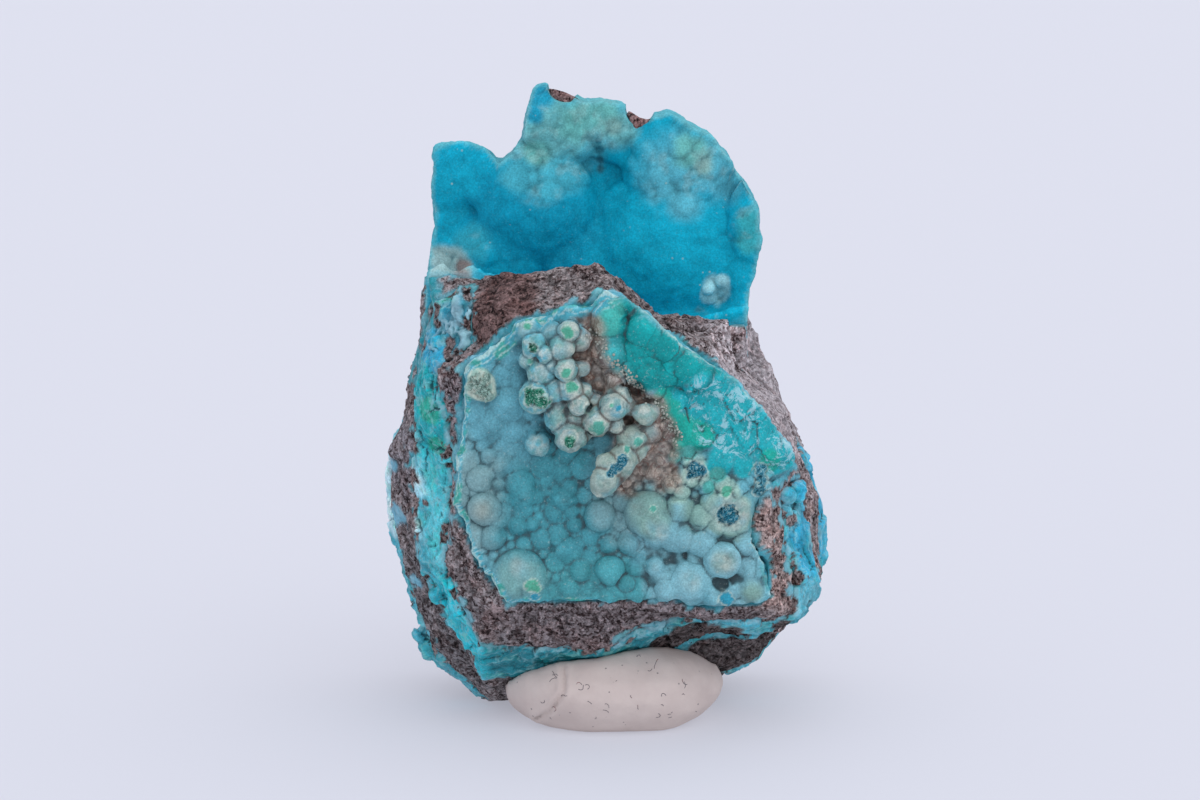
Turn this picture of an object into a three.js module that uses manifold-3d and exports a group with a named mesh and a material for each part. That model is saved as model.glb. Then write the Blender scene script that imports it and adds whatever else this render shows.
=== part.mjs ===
// A hand specimen of hemimorphite: a broken block of grainy brown rock, with a botryoidal blue-green
// crust on its show face, another lining the tall hollow above it, and veins of the same mineral that
// come out round the block behind the face and at its left and right rims. It leans on a flattened
// wad of putty. Millimetres: +X right, +Y away from the show face, +Z up.
import * as THREE from 'three';
import { LoftGeometry } from 'three/addons/geometries/LoftGeometry.js';
import { ImprovedNoise } from 'three/addons/math/ImprovedNoise.js';
import { TessellateModifier } from 'three/addons/modifiers/TessellateModifier.js';
import { mergeVertices } from 'three/addons/utils/BufferGeometryUtils.js';
import Module from 'manifold-3d';

const wasm = await Module();
wasm.setup();
const noise = new ImprovedNoise();

// ---------------------------------------------------------------- driving dimensions
const GAP = 0.3; // between a crust and the rock that it grew on
const REACH = 60; // half-size of the cutters that run past the whole specimen
const ORIGIN = [0.11, -1.18]; // the middle of the whole outline, which the part's own frame starts at
const SMALL_BALL = 1.85; // below this radius a ball has 32 faces, below the next 80, above it 320
const LARGE_BALL = 12;
const ROD = { rings: 2, sides: 6 }; // faces of a rod: rings on each round end and sides about it
const SPLITS = 14; // the most times that an edge is split
const APART = 31.4; // offset that makes two noises independent

// Broken rock: the longest edge left after roughening, the noise's height and its cycles per mm.
const ROUGH = { edge: 9.5, height: 1.3, pitch: 0.13 };

// Cross sections of the block from the show face to the back. Each lists [x, z] at one depth,
// clockwise from the left shoulder: six points along the top, then right side, base and left side.
const BLOCK = [
  { y: -17.5, ring: [[-17, 49], [-13, 52.5], [-10.5, 54], [-5.5, 55.5], [0, 57.5], [5.5, 54],
    [10.5, 50], [16.5, 45.5], [20, 41.5], [23.5, 36.5], [20, 32], [19.5, 27.5], [21, 22],
    [21, 17.5], [16.5, 17], [11, 16.5], [4.5, 17.5], [-2, 17], [-9.5, 17], [-13.5, 17.5],
    [-16, 21], [-17.5, 25.5], [-18.5, 31.5], [-18.5, 37.5], [-18, 43], [-18, 46]] },
  { y: -14.5, ring: [[-17.5, 50.5], [-16, 54.5], [-11.5, 56], [-5.5, 56.5], [1, 58], [6, 54.5],
    [12, 50.5], [17, 45.5], [20.5, 41], [24.5, 35.5], [21.5, 32], [22, 25.5], [24, 21],
    [24, 16.5], [18.5, 15], [11.5, 15], [5, 13.5], [-1.5, 11.5], [-9.5, 12], [-16, 12],
    [-17.5, 18], [-19.5, 23], [-19.5, 30.5], [-19.5, 36.5], [-21, 43], [-21, 47.5]] },
  { y: -9, ring: [[-21, 53], [-16.5, 56], [-11, 59], [-4.5, 60.5], [-0.5, 60], [5.5, 54],
    [15.5, 53], [16.5, 46], [21.5, 41], [25, 35], [24.5, 29.5], [25.5, 23], [26.5, 17.5],
    [25, 13.5], [19.5, 12.5], [12, 13.5], [4.5, 10.5], [-2, 8], [-9.5, 7], [-16, 7],
    [-20, 15], [-23, 22.5], [-23.5, 29.5], [-24, 35.5], [-24, 42.5], [-22.5, 49]] },
  { y: -3, ring: [[-22.5, 60.5], [-20, 59.5], [-13.5, 56], [-6, 54.5], [2, 53.5], [8.5, 51.5],
    [15.5, 50.5], [16.5, 45.5], [22, 41], [24.8, 33.5], [27, 28.5], [27.5, 22.5], [27, 18.5],
    [23.5, 13], [20, 8], [15.5, 6], [4.5, 5.5], [-2, 3.5], [-8.5, 3], [-15, 2.5],
    [-22, 8.5], [-26.5, 20.5], [-27.5, 28.5], [-27.5, 34.5], [-25.5, 40], [-23.5, 50.5]] },
  { y: 4, ring: [[-23, 60], [-19, 58], [-13.5, 53.5], [-6, 51], [2, 49.5], [10, 49.5],
    [16, 49], [17, 45.5], [22.5, 40.5], [26, 32.5], [28, 25.5], [28, 21], [27, 16.5],
    [23, 11], [20, 5.5], [13.5, 2.5], [4.5, 1], [-2, 0.5], [-8.5, 0], [-15, 0],
    [-21.5, 5.5], [-26, 15], [-28, 24], [-28, 31.5], [-26, 37.5], [-23.5, 49.5]] },
  { y: 12, ring: [[-22, 57.5], [-18, 57.5], [-13, 56.5], [-6, 55.5], [2, 55], [10, 54.5],
    [17, 52.5], [20.5, 46.5], [23.5, 39.5], [25.5, 31.5], [27.5, 24], [26, 18], [23, 12.5],
    [20, 7.5], [16, 3], [12, -1], [4.5, -1], [-2, -1], [-8.5, -1], [-14, 0],
    [-20, 4.5], [-25, 13.5], [-26.5, 22.5], [-27, 30], [-26, 37], [-24, 47]] },
  { y: 20, ring: [[-17, 51], [-14, 53], [-10, 54], [-4.5, 54], [2, 54], [9, 53],
    [14, 50.5], [17.5, 45], [20.5, 38], [22.5, 30], [22.5, 22.5], [21.5, 16], [19, 10],
    [16, 5], [12.5, 2], [9, 0], [3.5, -1], [-2, -1], [-7.5, -0.5], [-12.5, 2],
    [-17, 7], [-20.5, 14], [-21.5, 21], [-21.5, 28.5], [-21, 35.5], [-19.5, 45]] },
];
const BLOCK_CENTRE = [0, 2, 33];

// The tall slab behind the hollow: its outline, clockwise from the lower left, and its section at
// each depth as a scale about SLAB_AXIS.
const SLAB = [[-22.5, 50], [-22.5, 61.5], [-22.5, 66.5], [-22, 71.5], [-22, 74], [-18.5, 74],
  [-16.5, 73], [-13.5, 71.5], [-11.5, 74], [-10.5, 78], [-9.5, 81], [-7.5, 82], [-6, 80],
  [-0.5, 80], [2, 78.5], [4.5, 76], [6.5, 78], [8.5, 78.5], [12, 76.5], [14.5, 74.5],
  [17, 71], [20, 67], [20, 61], [19, 58], [18, 52.5], [18, 46], [12, 44], [-16, 44]];
const SLAB_AXIS = [-0.5, 60];
const SLAB_DEPTHS = [[-3, 1], [4.5, 1], [10, 0.94], [15, 0.81], [19, 0.6]];

// The hollow is an ellipsoid with its own radius on each side: [left or front or down, the other].
const HOLLOW = { centre: [-1, -0.5, 62], x: [30, 29], y: [5.5, 9], z: [12, 27] };
const HOLLOW_CRUST = 1.6;
// Rounded lobes on its wall: [x, y, z, radius].
const HOLLOW_LOBES = [[-9, 13, 66, 9.5], [-14, 12, 57.5, 8], [-2, 14, 57.5, 9.5], [9, 15, 60, 12.5],
  [9.5, 11, 71, 8], [-5.5, 8.5, 76.5, 5.5], [1, 9.5, 75.5, 5], [2.5, 10, 65, 5]];
// The crust runs down the right-hand edge: [x, y, z, radius].
const HOLLOW_EDGE = [[19, 3, 67, 2.6], [19, 2.5, 63.5, 3], [18.6, 2.5, 59.5, 2.6], [18, 2.5, 55.5, 2.4],
  [17.7, 2, 51.5, 2.3], [17.6, 2, 48, 2.1]];
// Pale knobs in the hollow: [x, y, z, radius].
const HOLLOW_KNOBS = [[14, 4.2, 57.6, 2], [13, 4, 56, 1.4], [-10.5, 5, 70.5, 1.7],
  [-8.3, 4.8, 72.6, 1.6], [-6, 5.4, 71, 1.7], [-9.3, 3.6, 75.8, 1.5], [-3.5, 5, 73.4, 1.7],
  [-12.5, 4.6, 68.4, 1.5], [-1, 4.6, 78, 1.6]];

// The show face's crust: its outline, clockwise from the upper left corner, as [x, z].
const FACE = [[-18, 49.5], [-16, 50], [-13.5, 51.5], [-11, 54.5], [-7.5, 54.5], [-5.5, 56],
  [-2, 56], [0, 58.5], [2, 57.5], [5.5, 55], [10.5, 50.5], [14.5, 48], [17, 46], [19.5, 43],
  [22, 40], [24, 37], [23.5, 35], [20, 33], [18.5, 29], [18.5, 26.5], [20, 24], [20.5, 21.5],
  [20.5, 19], [19.5, 18], [16.5, 18], [13.5, 17.5], [10.5, 18], [8, 19], [4.5, 19], [0.5, 18.5],
  [-5.5, 18.5], [-12, 18.5], [-13.5, 20.5], [-16, 23], [-17, 26], [-18, 29], [-19, 31],
  [-19, 33], [-18.5, 37], [-18.5, 40.5], [-18, 44], [-17.5, 46.5]];
const FACE_CENTRE = [1, 36];
const FACE_FRONT = -19.3; // y of the crust's rim
const FACE_CRUST = 1.9;
const FACE_EDGE = 9; // longest edge on it
const FACE_REACH = 12; // how far in front of it its cutter runs
const FACE_ROOT = 0.6; // its growths start at this share of its thickness
const FACE_SINK = 0.15; // a lump's centre lies this share of its radius behind the surface
const DISH = { x: -4, z: 34, radius: 14, depth: 3 }; // the face is hollow in its lower left part
const FACE_SLOPE = { from: 8, rate: 0.12 }; // right of this x it turns away

// Rounded growths of the show face: [x, z, radius].
const FACE_LUMPS = [[11, 35.4, 1.9], [15.3, 30.3, 3], [15.1, 32.9, 1.4], [-9.1, 20.9, 1.9],
  [-11.6, 23, 1.6], [-15.7, 46.3, 2.2], [4.2, 23, 1.5], [15.1, 23.6, 2.5], [7, 21.6, 1.6],
  [9.6, 21.3, 1.6], [12.2, 21.6, 1.6], [13.9, 18.9, 1.6], [18.3, 21.3, 1.4], [4.4, 30.3, 2.2],
  [6.8, 27.6, 2.5], [-0.7, 28.6, 2], [-5.4, 31.2, 1.9], [-10.3, 31.9, 1.9], [-13.4, 35.6, 1.8],
  [-14.2, 28.7, 1.8], [-5.9, 25, 1.6], [10.6, 39.3, 1.8], [8.7, 43.8, 2], [4.1, 50.4, 1.9],
  [6.4, 47.2, 2], [-8.8, 39.3, 1.8], [-4.4, 38.6, 1.6], [10.6, 26.4, 1.9]];
// Stalks that stand out of it: [x, z, radius, length, lean in x, lean in z].
const FACE_STALKS = [[-8.2, 44.6, 2, 3, 0, 0], [-7.5, 52.2, 1.3, 2, -0.1, 0.1],
  [-4.4, 53.2, 1.3, 2, 0, 0.2], [-8.8, 50, 1.4, 2.6, -0.2, 0], [-5.8, 50.4, 1.4, 2.4, 0, 0],
  [-4.6, 48, 1.4, 3, 0.1, -0.1], [-7.6, 47.8, 1.3, 2.6, -0.1, 0], [-3.6, 46, 1.4, 3.4, 0, -0.2],
  [-5.8, 43.9, 1.3, 3, 0, -0.1], [-3.2, 43.5, 1.4, 3, 0.1, -0.2], [-5.6, 41.3, 1.4, 2.6, 0, -0.3],
  [-1, 41.4, 1.5, 3.2, 0, -0.2], [1.9, 43.7, 1.6, 3.4, 0.2, 0], [0.6, 45.8, 1.2, 2.4, 0.1, 0.1],
  [5, 42.8, 1.4, 3, 0.2, 0]];
const FACE_FINGER = { from: [5, -17.8, 40.2], to: [-0.4, -21.2, 34], radius: 2 };

// Veins of crust that reach the block's surface: the depths between which each lies, and the boxes,
// [low corner, high corner], where it has been broken away.
const VEIN_PROUD = 1.016; // a vein's outer and inner surfaces are the block's at these scales
const VEIN_ROOT = 0.88;
const VEIN_WAVE = { edge: 12, height: 2.2, pitch: 0.09 };
const MIDDLE_VEIN = { depths: [-14, -8], broken: [[[-17, 46], [REACH, REACH * 2]],
  [[5, 32], [REACH, REACH * 2]]] };
const LEFT_RIM_VEIN = { depths: [-0.5, 4.2], broken: [[[-REACH, 38], [REACH, REACH * 2]],
  [[-15, -REACH], [REACH, REACH]]] };
const RIGHT_RIM_VEIN = { depths: [-0.5, 4.2], broken: [[[-REACH, 34], [REACH, REACH * 2]],
  [[-REACH, -REACH], [16, REACH]]] };
const VEIN_LOWEST = 1.5; // the veins end this far above the surface
const BLOCK_RADIUS = 25; // the block's rough half-size, which turns a gap into a scale

// The putty: a flattened wad with a flat base.
const PUTTY = { centre: [1, -4.8, 4.7], radii: [14.5, 12, 6.8], dent: { edge: 9, height: 0.35, pitch: 0.2 } };
const PUTTY_SEED = 7;
const SEAT_SCALE = 1.03; // it is pressed to this scale of the block

// ---------------------------------------------------------------- making and combining solids
function solid(geometry) {
  geometry.deleteAttribute('normal');
  geometry.deleteAttribute('uv');
  const merged = mergeVertices(geometry);
  return new wasm.Manifold(new wasm.Mesh({
    numProp: 3,
    vertProperties: new Float32Array(merged.attributes.position.array),
    triVerts: new Uint32Array(merged.index.array),
  }));
}

function geometryOf(body) {
  const { numProp, vertProperties, triVerts } = body.getMesh();
  const positions = new Float32Array((vertProperties.length / numProp) * 3);
  for (let i = 0; i < positions.length / 3; i++) {
    positions.set(vertProperties.subarray(i * numProp, i * numProp + 3), i * 3);
  }
  const geometry = new THREE.BufferGeometry();
  geometry.setAttribute('position', new THREE.BufferAttribute(positions, 3));
  geometry.setIndex(new THREE.BufferAttribute(new Uint32Array(triVerts), 1));
  return geometry;
}

const join = (bodies) => bodies.reduce((sum, body) => sum.add(body));
const cut = (body, cutters) => cutters.reduce((rest, cutter) => rest.subtract(cutter), body);

// The largest body of a solid, without the crumbs that a cut can leave.
function largest(body) {
  return body.decompose().reduce((best, piece) => (piece.volume() > best.volume() ? piece : best));
}

// A skin through closed rings of [x, y, z] points that run clockwise seen from the show side.
function loft(rings) {
  const sections = rings.map((ring) => ring.map((point) => new THREE.Vector3(...point)));
  const skin = new LoftGeometry(sections, { closed: true, capStart: true, capEnd: true });
  return solid(new THREE.BufferGeometry().copy(skin));
}

// Splits edges until none is longer than edge, then moves every vertex to where(its [x, y, z]).
function reshape(body, edge, where) {
  const fine = new TessellateModifier(edge, SPLITS).modify(geometryOf(body));
  const points = fine.attributes.position;
  for (let i = 0; i < points.count; i++) {
    points.setXYZ(i, ...where([points.getX(i), points.getY(i), points.getZ(i)]));
  }
  return solid(fine);
}

// Moves every point by smooth noise.
function roughen(body, { edge, height, pitch }, seed = 0) {
  return reshape(body, edge, ([x, y, z]) => {
    const [u, v, w] = [x, y, z].map((value) => value * pitch + seed);
    return [x + height * noise.noise(u, v, w), y + height * noise.noise(u + APART, v, w),
      z + height * noise.noise(u, v + APART, w)];
  });
}

function box(low, high) {
  const [x, y, z] = low.map((value, axis) => (value + high[axis]) / 2);
  const size = low.map((value, axis) => high[axis] - value);
  return solid(new THREE.BoxGeometry(...size).translate(x, y, z));
}

// All that lies below the surface that the specimen stands on.
const floor = () => box([-REACH, -REACH, -REACH], [REACH, REACH, 0]);

// Flattens what lies behind y = back, where a growth is rooted in its crust.
function rooted(geometry, back) {
  const points = geometry.attributes.position;
  for (let i = 0; i < points.count; i++) points.setY(i, Math.min(points.getY(i), back));
  return solid(geometry);
}

// A ball with as many faces as its size needs.
function ball([x, y, z], radius, back = REACH) {
  const shape = radius < SMALL_BALL
    ? new THREE.OctahedronGeometry(radius, 1)
    : new THREE.IcosahedronGeometry(radius, radius < LARGE_BALL ? 1 : 2);
  return rooted(new THREE.BufferGeometry().copy(shape).translate(x, y, z), back);
}

// A rod with round ends between two points.
function rod(from, to, radius, back = REACH) {
  const start = new THREE.Vector3(...from);
  const along = new THREE.Vector3(...to).sub(start);
  const capsule = new THREE.CapsuleGeometry(radius, along.length(), ROD.rings, ROD.sides);
  const turn = new THREE.Quaternion().setFromUnitVectors(
    new THREE.Vector3(0, 1, 0), along.clone().normalize());
  const middle = start.addScaledVector(along, 0.5);
  return rooted(capsule.applyQuaternion(turn).translate(...middle.toArray()), back);
}

// An ellipsoid with a different radius on the low and the high side of each axis.
function egg({ centre, x, y, z }, grow = 0) {
  const geometry = new THREE.IcosahedronGeometry(1, 3);
  const points = geometry.attributes.position;
  for (let i = 0; i < points.count; i++) {
    const unit = [points.getX(i), points.getY(i), points.getZ(i)];
    const [px, py, pz] = [x, y, z].map((radii, axis) => {
      const radius = radii[unit[axis] < 0 ? 0 : 1] + grow;
      return centre[axis] + unit[axis] * radius;
    });
    points.setXYZ(i, px, py, pz);
  }
  return solid(geometry);
}

// ---------------------------------------------------------------- the block of rock
function scaledAbout(body, [x, y, z], scale) {
  return solid(geometryOf(body).translate(-x, -y, -z).scale(scale, scale, scale).translate(x, y, z));
}

function plainBlock() {
  return loft(BLOCK.map(({ y, ring }) => ring.map(([x, z]) => [x, y, z])));
}

function slab() {
  const [ax, az] = SLAB_AXIS;
  return loft(SLAB_DEPTHS.map(([y, scale]) => (
    SLAB.map(([x, z]) => [ax + (x - ax) * scale, y, az + (z - az) * scale]))));
}

// ---------------------------------------------------------------- the show face's crust
function faceFront(x, z) {
  const away = Math.hypot(x - DISH.x, z - DISH.z) / DISH.radius;
  const slope = Math.max(0, x - FACE_SLOPE.from) * FACE_SLOPE.rate;
  return FACE_FRONT + DISH.depth * Math.exp(-(away ** 2)) + slope;
}

// The sheet of crust, grown on every side and carried on to the front by reach for a cutter.
function faceSheet(grow = 0, reach = 0) {
  const [cx, cz] = FACE_CENTRE;
  const ring = (y) => FACE.map(([x, z]) => {
    const stretch = 1 + grow / Math.hypot(x - cx, z - cz);
    return [cx + (x - cx) * stretch, y, cz + (z - cz) * stretch];
  });
  const plate = loft([ring(-grow - reach), ring(FACE_CRUST + grow)]);
  return reshape(plate, FACE_EDGE, ([x, y, z]) => [x, y + faceFront(x, z), z]);
}

// A growth's back lies at this depth in the sheet, clear of the rock behind it.
const faceRoot = (x, z) => faceFront(x, z) + FACE_CRUST * FACE_ROOT;

function faceLump([x, z, radius]) {
  return ball([x, faceFront(x, z) + radius * FACE_SINK, z], radius, faceRoot(x, z));
}

function faceStalk([x, z, radius, length, leanX, leanZ]) {
  const root = faceRoot(x, z);
  const tip = faceFront(x, z) - length + radius;
  return rod([x, root, z], [x + leanX * length, tip, z + leanZ * length], radius, root);
}

function frontCrust() {
  const { from, to, radius } = FACE_FINGER;
  const finger = rod(from, to, radius);
  return join([faceSheet(), finger, ...FACE_LUMPS.map(faceLump), ...FACE_STALKS.map(faceStalk)]);
}

// ---------------------------------------------------------------- the hollow's crust
// The band down its right-hand edge, grown on every side.
function hollowEdge(grow = 0) {
  return join(HOLLOW_EDGE.slice(1).map(([x, y, z, radius], i) => (
    rod(HOLLOW_EDGE[i].slice(0, 3), [x, y, z], radius + grow))));
}

function hollowCrust(hull) {
  const lobes = [...HOLLOW_LOBES, ...HOLLOW_KNOBS].map(([x, y, z, radius]) => ball([x, y, z], radius));
  const edge = hollowEdge();
  const space = cut(egg(HOLLOW), lobes);
  const lining = egg(HOLLOW, HOLLOW_CRUST).subtract(space).intersect(hull);
  return largest(lining.add(edge.intersect(hull)));
}

// ---------------------------------------------------------------- the veins
function veinCutter({ depths: [near, far], broken }, core, grow = 0) {
  const thickness = far - near + 2 * grow;
  const sheet = new THREE.BoxGeometry(2 * REACH, thickness, 2 * REACH);
  sheet.translate(0, (near + far) / 2, VEIN_LOWEST + REACH - grow);
  const breaks = broken.map(([[x0, z0], [x1, z1]]) => (
    box([x0 + grow, -REACH, z0 + grow], [x1, REACH, z1])));
  const wavy = reshape(solid(sheet), VEIN_WAVE.edge, ([x, y, z]) => (
    [x, y + VEIN_WAVE.height * noise.noise(x * VEIN_WAVE.pitch, near, z * VEIN_WAVE.pitch), z]));
  return cut(wavy, [core, ...breaks]);
}

// ---------------------------------------------------------------- the putty
function putty(seat) {
  const { centre, radii, dent } = PUTTY;
  const wad = new THREE.SphereGeometry(1, 20, 10).rotateX(Math.PI / 2);
  wad.scale(...radii).translate(...centre);
  return largest(cut(roughen(solid(wad), dent, PUTTY_SEED), [seat, floor()]));
}

// ---------------------------------------------------------------- the specimen
function piece(name, body, colour, roughness) {
  const geometry = geometryOf(body);
  geometry.computeVertexNormals();
  const material = new THREE.MeshStandardMaterial({
    color: colour, roughness, metalness: 0, flatShading: true,
  });
  const mesh = new THREE.Mesh(geometry, material);
  mesh.name = name;
  return mesh;
}

function specimen() {
  const hull = roughen(plainBlock().add(slab()), ROUGH);
  const proud = scaledAbout(hull, BLOCK_CENTRE, VEIN_PROUD);
  const core = (grow) => scaledAbout(plainBlock(), BLOCK_CENTRE, VEIN_ROOT - grow / BLOCK_RADIUS);

  const hollow = egg(HOLLOW, HOLLOW_CRUST + GAP);
  const layers = [MIDDLE_VEIN, LEFT_RIM_VEIN, RIGHT_RIM_VEIN];
  const veins = layers.map((vein) => (
    largest(cut(veinCutter(vein, core(0)).intersect(proud), [faceSheet(GAP, FACE_REACH), hollow]))));
  const seats = layers.map((vein) => veinCutter(vein, core(GAP), GAP));
  const rock = largest(cut(hull, [
    floor(), faceSheet(GAP, FACE_REACH), hollow, hollowEdge(GAP), ...seats]));

  const group = new THREE.Group();
  group.position.set(-ORIGIN[0], -ORIGIN[1], 0);
  group.add(
    piece('rock_matrix', rock, 0x7b6562, 0.95),
    piece('front_crust', frontCrust(), 0x5fa9b4, 0.6),
    piece('upper_crust', hollowCrust(hull), 0x1693b3, 0.55),
    piece('middle_vein', veins[0], 0x45a9a8, 0.6),
    piece('left_rim_vein', veins[1], 0x3aa0ae, 0.6),
    piece('right_rim_vein', veins[2], 0x3aa0ae, 0.6),
    piece('putty_rest', putty(scaledAbout(hull, BLOCK_CENTRE, SEAT_SCALE)), 0xcfc4bd, 0.9),
  );
  const part = new THREE.Group();
  part.add(group);
  return part;
}

export default specimen();
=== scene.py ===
"""A hand specimen of hemimorphite: grainy brown rock, a botryoidal blue-green crust on its show face, a
deep blue crust in the hollow above, and veins of the same mineral, propped on a flattened wad of putty.

Shapes are worked out in millimetres, +X right, +Y away from the show face and +Z up, and written in
metres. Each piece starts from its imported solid, gets its lumps, is fused to one skin and is then
finished in detail: its relief is pushed out point by point, and each point keeps its own tone.
"""

import math
import random

import bmesh
import bpy
import numpy as np
from mathutils import Matrix, Vector, noise
from mathutils.bvhtree import BVHTree


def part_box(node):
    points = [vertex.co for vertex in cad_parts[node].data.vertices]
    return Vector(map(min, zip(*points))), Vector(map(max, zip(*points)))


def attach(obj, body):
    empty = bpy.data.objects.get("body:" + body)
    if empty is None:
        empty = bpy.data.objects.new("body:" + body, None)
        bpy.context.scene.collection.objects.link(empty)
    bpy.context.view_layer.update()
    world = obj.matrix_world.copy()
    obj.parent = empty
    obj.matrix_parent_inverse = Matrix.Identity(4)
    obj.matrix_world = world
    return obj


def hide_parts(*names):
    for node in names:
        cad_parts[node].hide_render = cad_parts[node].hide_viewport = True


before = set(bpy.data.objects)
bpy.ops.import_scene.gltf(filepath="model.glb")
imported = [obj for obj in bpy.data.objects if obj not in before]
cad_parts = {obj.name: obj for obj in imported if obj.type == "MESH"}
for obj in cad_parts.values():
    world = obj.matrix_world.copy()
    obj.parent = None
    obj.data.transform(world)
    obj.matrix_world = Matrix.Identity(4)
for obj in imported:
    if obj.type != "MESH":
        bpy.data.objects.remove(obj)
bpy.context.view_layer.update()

MM = 0.001  # every size below is in millimetres

# ---------------------------------------------------------------- the camera
AIM = (-0.8, 1.2, 41)  # the point that it looks at
CAMERA_DISTANCE = 520
CAMERA_ELEVATION = math.radians(10)
LENS = 120
SENSOR = 36


def place_camera():
    lens = bpy.data.cameras.new("camera")
    lens.lens = LENS
    lens.sensor_width = SENSOR
    lens.clip_start = 10 * MM
    lens.clip_end = 20000 * MM
    camera = bpy.data.objects.new("camera", lens)
    bpy.context.scene.collection.objects.link(camera)
    back = Vector((0, -math.cos(CAMERA_ELEVATION), math.sin(CAMERA_ELEVATION)))
    camera.location = (Vector(AIM) + back * CAMERA_DISTANCE) * MM
    camera.rotation_euler = (-back).to_track_quat("-Z", "Y").to_euler()
    bpy.context.scene.camera = camera


# ---------------------------------------------------------------- shaping tools
WELD = 0.002  # corners of loose triangles this close are one point
FAR_FRONT = -60  # a y well in front of the specimen
OCTAVES = (0.9, 2.1)  # how each finer octave of a ripple fades, and how many times finer it is
TILT_JUMP = 17.3  # sets the tilts of neighbouring patches apart
NO_DOME = -9.0  # stands for a place that no dome reaches
TINY = 0.05  # the least length that another one is divided by


def packed_form(node):
    """A node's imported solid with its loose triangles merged."""
    form = bmesh.new()
    form.from_mesh(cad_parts[node].data)
    bmesh.ops.remove_doubles(form, verts=form.verts, dist=WELD * MM)
    return form


def add_ball(form, centre, radius, stretch=(1, 1, 1), fineness=3):
    place = Matrix.Translation(Vector(centre) * MM) @ Matrix.Diagonal((*stretch, 1))
    bmesh.ops.create_icosphere(form, subdivisions=fineness, radius=radius * MM, matrix=place)


def add_rod(form, root, tip, root_radius, tip_radius, sides=16):
    """A tapering rod with a flat end at its tip."""
    start = Vector(root) * MM
    along = Vector(tip) * MM - start
    turn = along.to_track_quat("Z", "Y").to_matrix().to_4x4()
    place = Matrix.Translation(start + along / 2) @ turn
    bmesh.ops.create_cone(form, cap_ends=True, segments=sides, radius1=root_radius * MM,
                          radius2=tip_radius * MM, depth=along.length, matrix=place)


def tree_of(*pieces):
    """A search tree of some objects, in metres."""
    form = bmesh.new()
    for piece in pieces:
        form.from_mesh(piece.data)
    tree = BVHTree.FromBMesh(form)
    form.free()
    return tree


def tree_of_nodes(*nodes):
    """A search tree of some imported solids, in metres."""
    return tree_of(*(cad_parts[node] for node in nodes))


def new_piece(name, form):
    """A form as an object of its own."""
    mesh = bpy.data.meshes.new(name)
    form.to_mesh(mesh)
    form.free()
    piece = bpy.data.objects.new(name, mesh)
    bpy.context.scene.collection.objects.link(piece)
    return piece


def landing(tree, x, z, start=FAR_FRONT):
    """Where a line along +Y through (x, z) first meets a surface, in millimetres."""
    spot = tree.ray_cast(Vector((x, start, z)) * MM, Vector((0, 1, 0)))[0]
    return None if spot is None else spot / MM


def fused(name, form, voxel):
    """One skin over all the overlapping shells of a form, as an object."""
    piece = new_piece(name, form)
    skin = piece.modifiers.new("skin", "REMESH")
    skin.mode = "VOXEL"
    skin.voxel_size = voxel * MM
    skin.adaptivity = 0
    graph = bpy.context.evaluated_depsgraph_get()
    made = bpy.data.meshes.new_from_object(piece.evaluated_get(graph))
    piece.modifiers.clear()
    piece.data = made
    made.name = name
    return piece


def softened(form, voxel, passes):
    """A form fused and smoothed, as a new form for finer lumps to grow on."""
    piece = fused("softened", form, voxel)
    skin = Skin(piece)
    skin.smooth(passes)
    skin.store()
    soft = bmesh.new()
    soft.from_mesh(piece.data)
    bpy.data.objects.remove(piece)
    return soft


def step(values, low, high):
    """0 below low, 1 above high and a smooth slope between them."""
    share = np.clip((np.asarray(values) - low) / (high - low), 0, 1)
    return share * share * (3 - 2 * share)


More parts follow.
